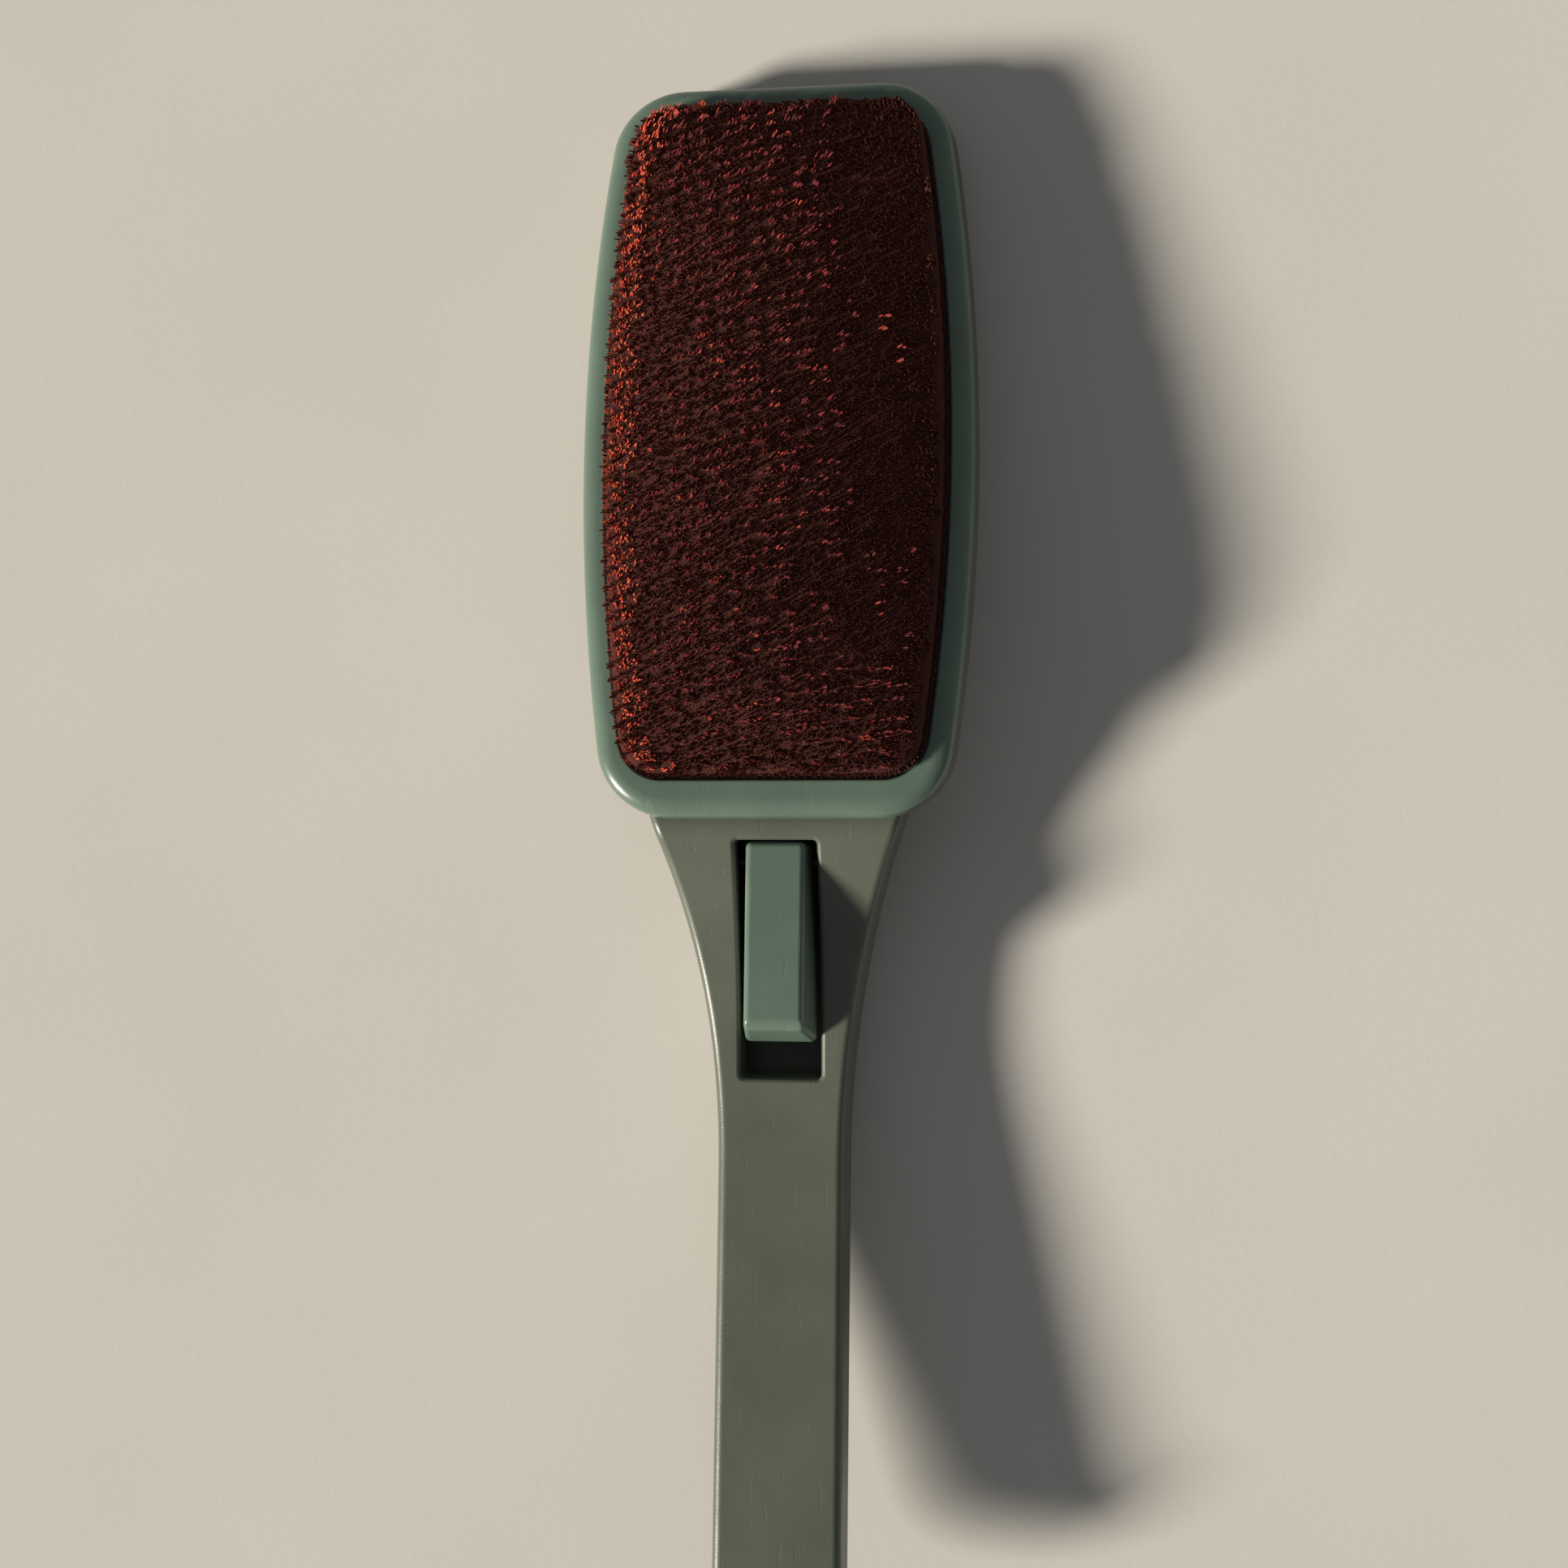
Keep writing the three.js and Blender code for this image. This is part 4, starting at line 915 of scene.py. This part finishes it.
def edge_fibres(chance):
    """Short fibres round the side of the pile, pointing outward and up; on the left, some of them are
    coloured as lit, which is painted light.
    """
    corners = opening_outline(CLOTH_GAP).points()
    for (x0, y0), (x1, y1) in zip(corners, corners[1:] + corners[:1]):
        run = math.hypot(x1 - x0, y1 - y0)
        outward = Vector(((y1 - y0) / run, (x0 - x1) / run, 0))
        way = outward * math.cos(EDGE_FIBRE_RISE) + Vector((0, 0, math.sin(EDGE_FIBRE_RISE)))
        # Left-facing edges get fibres coloured as lit: painted light.
        painted_lit_share = -outward.x * EDGE_PAINTED_LIT_SHARE
        places = run / EDGE_FIBRE_PITCH + chance.random() - 1 / 2
        for _ in range(round(EDGE_FIBRES_PER_PLACE * places)):
            along = chance.random()
            height = chance.uniform(NAP_FOOT, EDGE_FIBRE_TOP)
            root = Vector((x0 + (x1 - x0) * along, y0 + (y1 - y0) * along, height))
            gloss_and_painted_light = chance.uniform(PAINTED_LIT_EDGE_GLOSS, 1) if chance.random() < painted_lit_share else 0
            yield root, outward, root + way * EDGE_FIBRE_LENGTH, gloss_and_painted_light


def pile_tufts(material):
    """All fibres as one mesh, coloured by the place along a fibre, its tone and its shine, which also
    carries painted glints and painted light.
    """
    chance = random.Random(PILE_SEED)
    points, faces, values = [], [], []
    for root, normal, tip, gloss_and_painted_light in [*tuft_fibres(chance), *edge_fibres(chance)]:
        shift = nap_shift(root)
        scatter = Vector([chance.gauss(0, FIBRE_TIP_SPREAD) for _ in range(3)])
        cut = chance.uniform(0, FIBRE_CUT_SPREAD)
        fibre(points, faces, root + shift - normal * FIBRE_SINK, tip + shift + scatter, cut)
        tone = chance.random()
        for along in (0, 1):
            values += [(along, tone, gloss_and_painted_light, 1)] * FIBRE_SIDES
    tufts = make_object("pile_tufts", points, faces, head_frame)
    colours = tufts.data.color_attributes.new(name="fibre", type="FLOAT_COLOR", domain="POINT")
    colours.data.foreach_set("color", [number for value in values for number in value])
    return dress(tufts, material, "head", "red_pile", "lint_pile")


# Small pieces


def screw(name, node, material, body, sizes, place):
    """A cross-recessed screw pointing up, its head's underside at the place's origin."""
    head_radius, head_height, shank_radius, length = sizes
    edge = head_height * SCREW_EDGE_SHARE
    profile = [(head_radius - edge, 0), (head_radius, edge), (head_radius, head_height)]
    straight_end = head_height + length * SCREW_STRAIGHT_SHARE
    profile += [(shank_radius, head_height), (shank_radius, straight_end)]
    profile.append((shank_radius * SCREW_POINT_SHARE, head_height + length))
    body_mesh = loft(name, [circle(radius, z) for radius, z in profile], place)
    arm = head_radius * RECESS_ARM_SHARE
    half = head_radius * RECESS_HALF_WIDTH_SHARE
    depth = head_height * RECESS_DEPTH_SHARE
    for turn in (0, QUARTER_TURN):
        turned = place @ Matrix.Rotation(turn, 4, "Z")
        lower = [(-arm, -half, -edge), (arm, -half, -edge), (arm, half, -edge), (-arm, half, -edge)]
        upper = [(x / 2, y, depth) for x, y, _ in lower]
        combine(body_mesh, loft("recess", [lower, upper], turned), "DIFFERENCE")
    return dress(smooth(body_mesh), material, body, "steel", node)


def latch_spring(material):
    """The spring's wire, wound between the ends of its node's box."""
    low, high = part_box("latch_spring")
    x, y, z = middle_in_head("latch_spring")
    radius = (high.x - low.x) / MM / 2 - SPRING_WIRE_RADIUS
    run = ((high.y - low.y) / MM - 2 * radius * math.sin(head_tilt)) / math.cos(head_tilt)
    run -= 2 * SPRING_WIRE_RADIUS
    steps = WIRE_STEPS * SPRING_TURNS
    rings = []
    for i in range(steps + 1):
        share = i / steps
        angle = 2 * math.pi * SPRING_TURNS * share
        outward = Vector((math.cos(angle), 0, math.sin(angle)))
        around = Vector((-math.sin(angle) * radius * 2 * math.pi * SPRING_TURNS, -run, 0))
        around.z = math.cos(angle) * radius * 2 * math.pi * SPRING_TURNS
        binormal = around.normalized().cross(outward)
        centre = Vector((x, y + run * (1 / 2 - share), z)) + outward * radius
        turns = [2 * math.pi * k / WIRE_SIDES for k in range(WIRE_SIDES)]
        ways = [outward * math.cos(turn) + binormal * math.sin(turn) for turn in turns]
        rings.append([centre + way * SPRING_WIRE_RADIUS for way in ways])
    spring = loft("latch_coil", rings, head_frame)
    return dress(smooth(spring, SOFT_SHARP_ANGLE), material, "handle", "steel", "latch_spring")


# Materials

HANDLE_COLOUR = (0.125, 0.14, 0.108)
TEAL_COLOUR = (0.14, 0.205, 0.16)
INNER_COLOUR = (0.05, 0.06, 0.06)
STEEL_COLOUR = (0.62, 0.63, 0.64)
BLACK_STEEL_COLOUR = (0.035, 0.035, 0.04)
FIBRE_FOOT_COLOUR = (0.085, 0.025, 0.018)
FIBRE_TIP_COLOURS = ((0.08, 0.024, 0.018), (0.105, 0.029, 0.021))
# Painted glints in the rows, and the painted lit band along the pad's left edge.
PAINTED_GLINT_COLOURS = ((0.07, 0.009, 0.012), (0.18, 0.016, 0.022))
PAINTED_LIT_EDGE_COLOURS = ((0.3, 0.03, 0.02), (0.8, 0.13, 0.065))
VELVET_COLOURS = ((0.06, 0.018, 0.013), (0.09, 0.024, 0.018))
VELVET_PATCH_COLOUR = (0.026, 0.009, 0.007)
# Foam cell walls, then the darker pores, which is painted shade.
FOAM_WALL_AND_PAINTED_PORE_SHADE_COLOURS = ((0.16, 0.07, 0.06), (0.06, 0.025, 0.022))
PAPER_COLOURS = ((0.70, 0.675, 0.62), (0.73, 0.705, 0.65))


class Nodes:
    """A material's node tree, with short calls for the nodes used here."""

    def __init__(self, name):
        self.material = bpy.data.materials.new(name)
        self.material.use_nodes = True
        self.tree = self.material.node_tree
        self.shader = self.tree.nodes["Principled BSDF"]
        self.place = self.add("ShaderNodeTexCoord").outputs["Object"]

    def add(self, kind, **settings):
        node = self.tree.nodes.new(kind)
        for key, value in settings.items():
            setattr(node, key, value)
        return node

    def link(self, output, target):
        self.tree.links.new(output, target)

    def drive(self, name, output):
        """Links an output to one of the shader's own inputs."""
        self.link(output, self.shader.inputs[name])

    def hold(self, name, value):
        """Sets one of the shader's own inputs to a constant."""
        self.shader.inputs[name].default_value = value

    def stretched(self, scale):
        mapping = self.add("ShaderNodeMapping")
        mapping.inputs["Scale"].default_value = scale
        self.link(self.place, mapping.inputs["Vector"])
        return mapping.outputs["Vector"]

    def noise(self, scale, detail=3, place=None):
        node = self.add("ShaderNodeTexNoise")
        node.inputs["Scale"].default_value = scale
        node.inputs["Detail"].default_value = detail
        self.link(place or self.place, node.inputs["Vector"])
        return node.outputs["Fac"]

    def ramp(self, value, low, high, low_out=0, high_out=1):
        """Maps a value's span to another, clamped at both ends."""
        node = self.add("ShaderNodeMapRange")
        spans = {"From Min": low, "From Max": high, "To Min": low_out, "To Max": high_out}
        for key, number in spans.items():
            node.inputs[key].default_value = number
        self.link(value, node.inputs["Value"])
        return node.outputs["Result"]

    def maths(self, operation, a, b):
        node = self.add("ShaderNodeMath", operation=operation)
        for value, target in zip((a, b), node.inputs):
            if isinstance(value, (int, float)):
                target.default_value = value
            else:
                self.link(value, target)
        return node.outputs["Value"]

    def blend(self, share, a, b):
        """Mixes two colours, each linear red, green and blue or another node's output."""
        node = self.add("ShaderNodeMix", data_type="RGBA")
        self.link(share, node.inputs[0])
        for value, target in ((a, node.inputs[6]), (b, node.inputs[7])):
            if isinstance(value, tuple):
                target.default_value = (*value, 1)
            else:
                self.link(value, target)
        return node.outputs[2]

    def bump(self, height, distance, strength=1, under=None):
        node = self.add("ShaderNodeBump")
        node.inputs["Distance"].default_value = distance
        node.inputs["Strength"].default_value = strength
        self.link(height, node.inputs["Height"])
        if under:
            self.link(under, node.inputs["Normal"])
        return node.outputs["Normal"]


def shade_of(colour, factor):
    return tuple(channel * factor for channel in colour)


def moulded_plastic(name, colour, roughness, grain):
    """Moulded plastic: faint mottling, fine grain, a few specks of dust and light scuffs."""
    nodes = Nodes(name)
    mottle = nodes.ramp(nodes.noise(70, 4), 0.35, 0.65)
    base = nodes.blend(mottle, shade_of(colour, 0.93), shade_of(colour, 1.06))
    cells = nodes.add("ShaderNodeTexVoronoi")
    cells.inputs["Scale"].default_value = 420
    nodes.link(nodes.place, cells.inputs["Vector"])
    split = nodes.add("ShaderNodeSeparateColor")
    nodes.link(cells.outputs["Color"], split.inputs["Color"])
    chosen = nodes.maths("GREATER_THAN", split.outputs["Red"], 0.94)
    near = nodes.ramp(cells.outputs["Distance"], 0.05, 0.09, 1, 0)
    speck = nodes.maths("MULTIPLY", chosen, near)
    nodes.drive("Base Color", nodes.blend(speck, base, shade_of(colour, 1.9)))
    scuff_noise = nodes.noise(1, 5, nodes.stretched((900, 60, 900)))
    scuff = nodes.ramp(scuff_noise, 0.62, 0.72)
    worn = nodes.ramp(nodes.noise(45, 3), 0.3, 0.7, roughness - 0.05, roughness + 0.06)
    rough = nodes.maths("ADD", worn, nodes.maths("MULTIPLY", scuff, 0.09))
    nodes.drive("Roughness", rough)
    waves = nodes.bump(nodes.noise(110, 2), 0.00012)
    fine = nodes.bump(nodes.noise(3200, 2), 0.00002 * grain, under=waves)
    nodes.drive("Normal", nodes.bump(scuff, -0.000015, under=fine))
    return nodes.material


def pile_fibre(name):
    """Dyed nylon fibres: matt and dark in the tufts, shinier between the rows, where lighter colours paint
    glints and the lit left edge.
    """
    nodes = Nodes(name)
    attribute = nodes.add("ShaderNodeAttribute", attribute_name="fibre")
    split = nodes.add("ShaderNodeSeparateColor")
    nodes.link(attribute.outputs["Color"], split.inputs["Color"])
    along, tone, gloss_and_painted_light = (split.outputs[channel] for channel in ("Red", "Green", "Blue"))
    tip = nodes.blend(tone, *FIBRE_TIP_COLOURS)
    matt = nodes.blend(nodes.ramp(along, 0.2, 1), FIBRE_FOOT_COLOUR, tip)
    # Painted glints, and the painted light of the lit left edge.
    painted_glint = nodes.blend(tone, *PAINTED_GLINT_COLOURS)
    painted_lit_edge = nodes.blend(tone, *PAINTED_LIT_EDGE_COLOURS)
    painted_light_colour = nodes.blend(nodes.ramp(gloss_and_painted_light, 0.5, 0.7), painted_glint, painted_lit_edge)
    nodes.drive("Base Color", nodes.blend(nodes.ramp(gloss_and_painted_light, 0, 0.3), matt, painted_light_colour))
    nodes.drive("Roughness", nodes.ramp(gloss_and_painted_light, 0, 1, 0.7, 0.4))
    nodes.hold("Specular IOR Level", 0.22)
    nodes.hold("Specular Tint", (1, 0.5, 0.42, 1))
    return nodes.material


def pile_velvet(name):
    """The dense lower pile and its cloth: dark velvet with a fine grain and darker patches."""
    nodes = Nodes(name)
    grain = nodes.noise(2600, 3)
    patches = nodes.noise(140, 3)
    base = nodes.blend(grain, *VELVET_COLOURS)
    patched = nodes.blend(nodes.ramp(patches, 0.35, 0.7, 0, 0.5), base, VELVET_PATCH_COLOUR)
    nodes.drive("Base Color", patched)
    nodes.hold("Roughness", 0.8)
    nodes.hold("Specular IOR Level", 0.15)
    nodes.hold("Sheen Weight", 0.04)
    nodes.hold("Sheen Tint", (0.8, 0.2, 0.15, 1))
    nodes.drive("Normal", nodes.bump(grain, 0.0004))
    return nodes.material


def open_foam(name):
    nodes = Nodes(name)
    cells = nodes.add("ShaderNodeTexVoronoi", feature="DISTANCE_TO_EDGE")
    cells.inputs["Scale"].default_value = 1400
    nodes.link(nodes.place, cells.inputs["Vector"])
    # The pores are darker than the cell walls: painted shade in the pores.
    pore_depth_and_painted_shade = nodes.ramp(cells.outputs["Distance"], 0, 0.12)
    nodes.drive("Base Color", nodes.blend(pore_depth_and_painted_shade, *FOAM_WALL_AND_PAINTED_PORE_SHADE_COLOURS))
    nodes.hold("Roughness", 0.95)
    nodes.drive("Normal", nodes.bump(pore_depth_and_painted_shade, -0.0002))
    return nodes.material


def turned_steel(name, colour):
    """Steel with fine turning marks and a little dulling."""
    nodes = Nodes(name)
    dulled = nodes.ramp(nodes.noise(300, 4), 0.4, 0.7)
    nodes.drive("Base Color", nodes.blend(dulled, colour, shade_of(colour, 0.67)))
    nodes.hold("Metallic", 1)
    marks = nodes.noise(1, 3, nodes.stretched((2600, 2600, 260)))
    nodes.drive("Roughness", nodes.ramp(marks, 0.3, 0.7, 0.22, 0.42))
    nodes.drive("Normal", nodes.bump(marks, 0.00001))
    return nodes.material


def pale_paper(name):
    nodes = Nodes(name)
    tone = nodes.ramp(nodes.noise(14, 4), 0.35, 0.65)
    nodes.drive("Base Color", nodes.blend(tone, *PAPER_COLOURS))
    nodes.hold("Roughness", 0.9)
    nodes.hold("Specular IOR Level", 0.2)
    nodes.drive("Normal", nodes.bump(nodes.noise(700, 4), 0.00002))
    return nodes.material


# Scene

FLOOR_HALF = 2000
CAMERA_PLACE = Vector((31, 16, 285))
CAMERA_TARGET = Vector((-1, 14.4, 0))
CAMERA_ROLL = math.radians(-0.15)
CAMERA_LENS = 40
LIGHT_BEARING = math.radians(204)
LIGHT_ELEVATION = math.radians(25.5)
LIGHT_ANGLE = math.radians(10.7)
LIGHT_STRENGTH = 5
LIGHT_COLOUR = (1, 0.93, 0.82)
SKY_STRENGTH = 0.15
SKY_COLOUR = (0.93, 0.95, 1)
BACKDROP_COLOUR = (0.80, 0.79, 0.76)


def paper_sheet():
    corners = [(x, y, 0) for x, y in ((-1, -1), (1, -1), (1, 1), (-1, 1))]
    sheet = make_object("paper", [Vector(corner) * FLOOR_HALF for corner in corners], [(0, 1, 2, 3)])
    sheet.data.materials.append(pale_paper("paper"))


def looking(place, target):
    """A turn that looks from a place at a target, with the picture's up along +Y."""
    forward = (target - place).normalized()
    right = forward.cross(Vector((0, 1, 0))).normalized()
    up = right.cross(forward)
    return Matrix((right, up, -forward)).transposed().to_4x4()


def camera():
    data = bpy.data.cameras.new("camera")
    data.lens = CAMERA_LENS
    data.clip_start = 0.01
    obj = bpy.data.objects.new("camera", data)
    turn = looking(CAMERA_PLACE, CAMERA_TARGET) @ Matrix.Rotation(CAMERA_ROLL, 4, "Z")
    obj.matrix_world = Matrix.Translation(CAMERA_PLACE * MM) @ turn
    bpy.context.scene.collection.objects.link(obj)
    bpy.context.scene.camera = obj


def key_light():
    data = bpy.data.lights.new("key", "SUN")
    data.angle = LIGHT_ANGLE
    data.energy = LIGHT_STRENGTH
    data.color = LIGHT_COLOUR
    obj = bpy.data.objects.new("key", data)
    level = math.cos(LIGHT_ELEVATION)
    x, y = math.cos(LIGHT_BEARING) * level, math.sin(LIGHT_BEARING) * level
    away = Vector((x, y, math.sin(LIGHT_ELEVATION)))
    obj.matrix_world = away.to_track_quat("Z", "Y").to_matrix().to_4x4()
    bpy.context.scene.collection.objects.link(obj)


def sky():
    """A soft sky that lights the brush, and a paler one that the camera sees."""
    world = bpy.data.worlds.new("sky")
    bpy.context.scene.world = world
    world.use_nodes = True
    tree = world.node_tree
    tree.nodes.clear()
    soft = tree.nodes.new("ShaderNodeBackground")
    soft.inputs["Color"].default_value = (*SKY_COLOUR, 1)
    soft.inputs["Strength"].default_value = SKY_STRENGTH
    seen = tree.nodes.new("ShaderNodeBackground")
    seen.inputs["Color"].default_value = (*BACKDROP_COLOUR, 1)
    rays = tree.nodes.new("ShaderNodeLightPath")
    mix = tree.nodes.new("ShaderNodeMixShader")
    tree.links.new(rays.outputs["Is Camera Ray"], mix.inputs["Fac"])
    tree.links.new(soft.outputs["Background"], mix.inputs[1])
    tree.links.new(seen.outputs["Background"], mix.inputs[2])
    tree.links.new(mix.outputs["Shader"], tree.nodes.new("ShaderNodeOutputWorld").inputs["Surface"])


camera()
key_light()
sky()
paper_sheet()
bpy.context.scene.view_settings.view_transform = "Standard"

handle_plastic = moulded_plastic("handle_plastic", HANDLE_COLOUR, roughness=0.36, grain=1)
teal_plastic = moulded_plastic("teal_plastic", TEAL_COLOUR, roughness=0.30, grain=0.6)
dark_plastic = moulded_plastic("dark_plastic", INNER_COLOUR, roughness=0.45, grain=1)
steel = turned_steel("steel", STEEL_COLOUR)
black_steel = turned_steel("black_steel", BLACK_STEEL_COLOUR)

handle_top(handle_plastic)
handle_bottom(handle_plastic)
thumb_lever(teal_plastic)
rim(teal_plastic)
rim_base(handle_plastic)
pile_base(pile_velvet("pile_velvet"))
foam_core(open_foam("foam"))
pile_tufts(pile_fibre("pile_fibre"))
latch_spring(steel)

for node in numbered("shell_screw_"):
    x, y, head_under = screw_place(node)
    sizes = (SCREW_HEAD_RADIUS, SCREW_HEAD_HEIGHT, SCREW_SHANK_RADIUS, SCREW_LENGTH)
    screw("cross_" + node, node, steel, "handle", sizes, Matrix.Translation((x, y, head_under)))

for node in numbered("bezel_screw_"):
    x, y, _ = middle_in_head(node)
    sizes = (RIM_SCREW_HEAD_RADIUS, RIM_SCREW_HEAD_HEIGHT, RIM_SCREW_SHANK_RADIUS, RIM_SCREW_REACH)
    place = head_frame @ Matrix.Translation((x, y, BASE_UNDER + FIT / 2))
    screw("cross_" + node, node, steel, "head", sizes, place)

swivel_sizes = (SWIVEL_SCREW_HEAD_RADIUS, SWIVEL_SCREW_HEAD_HEIGHT, SWIVEL_SCREW_RADIUS, SWIVEL_SCREW_GRIP)
swivel_place = head_frame @ Matrix.Translation((0, 0, SWIVEL_SCREW_HEAD_UNDER))
screw("cross_swivel_screw", "swivel_screw", steel, "head", swivel_sizes, swivel_place)

kept_nodes = {
    "latch_slider": dark_plastic,
    "thrust_washer": dark_plastic,
    "index_disc": dark_plastic,
    "pad_plate": dark_plastic,
    "lever_pin": black_steel,
}
for name, material in kept_nodes.items():
    for material_slot in frame["nodes"][name].material_slots:
        material_slot.material = material
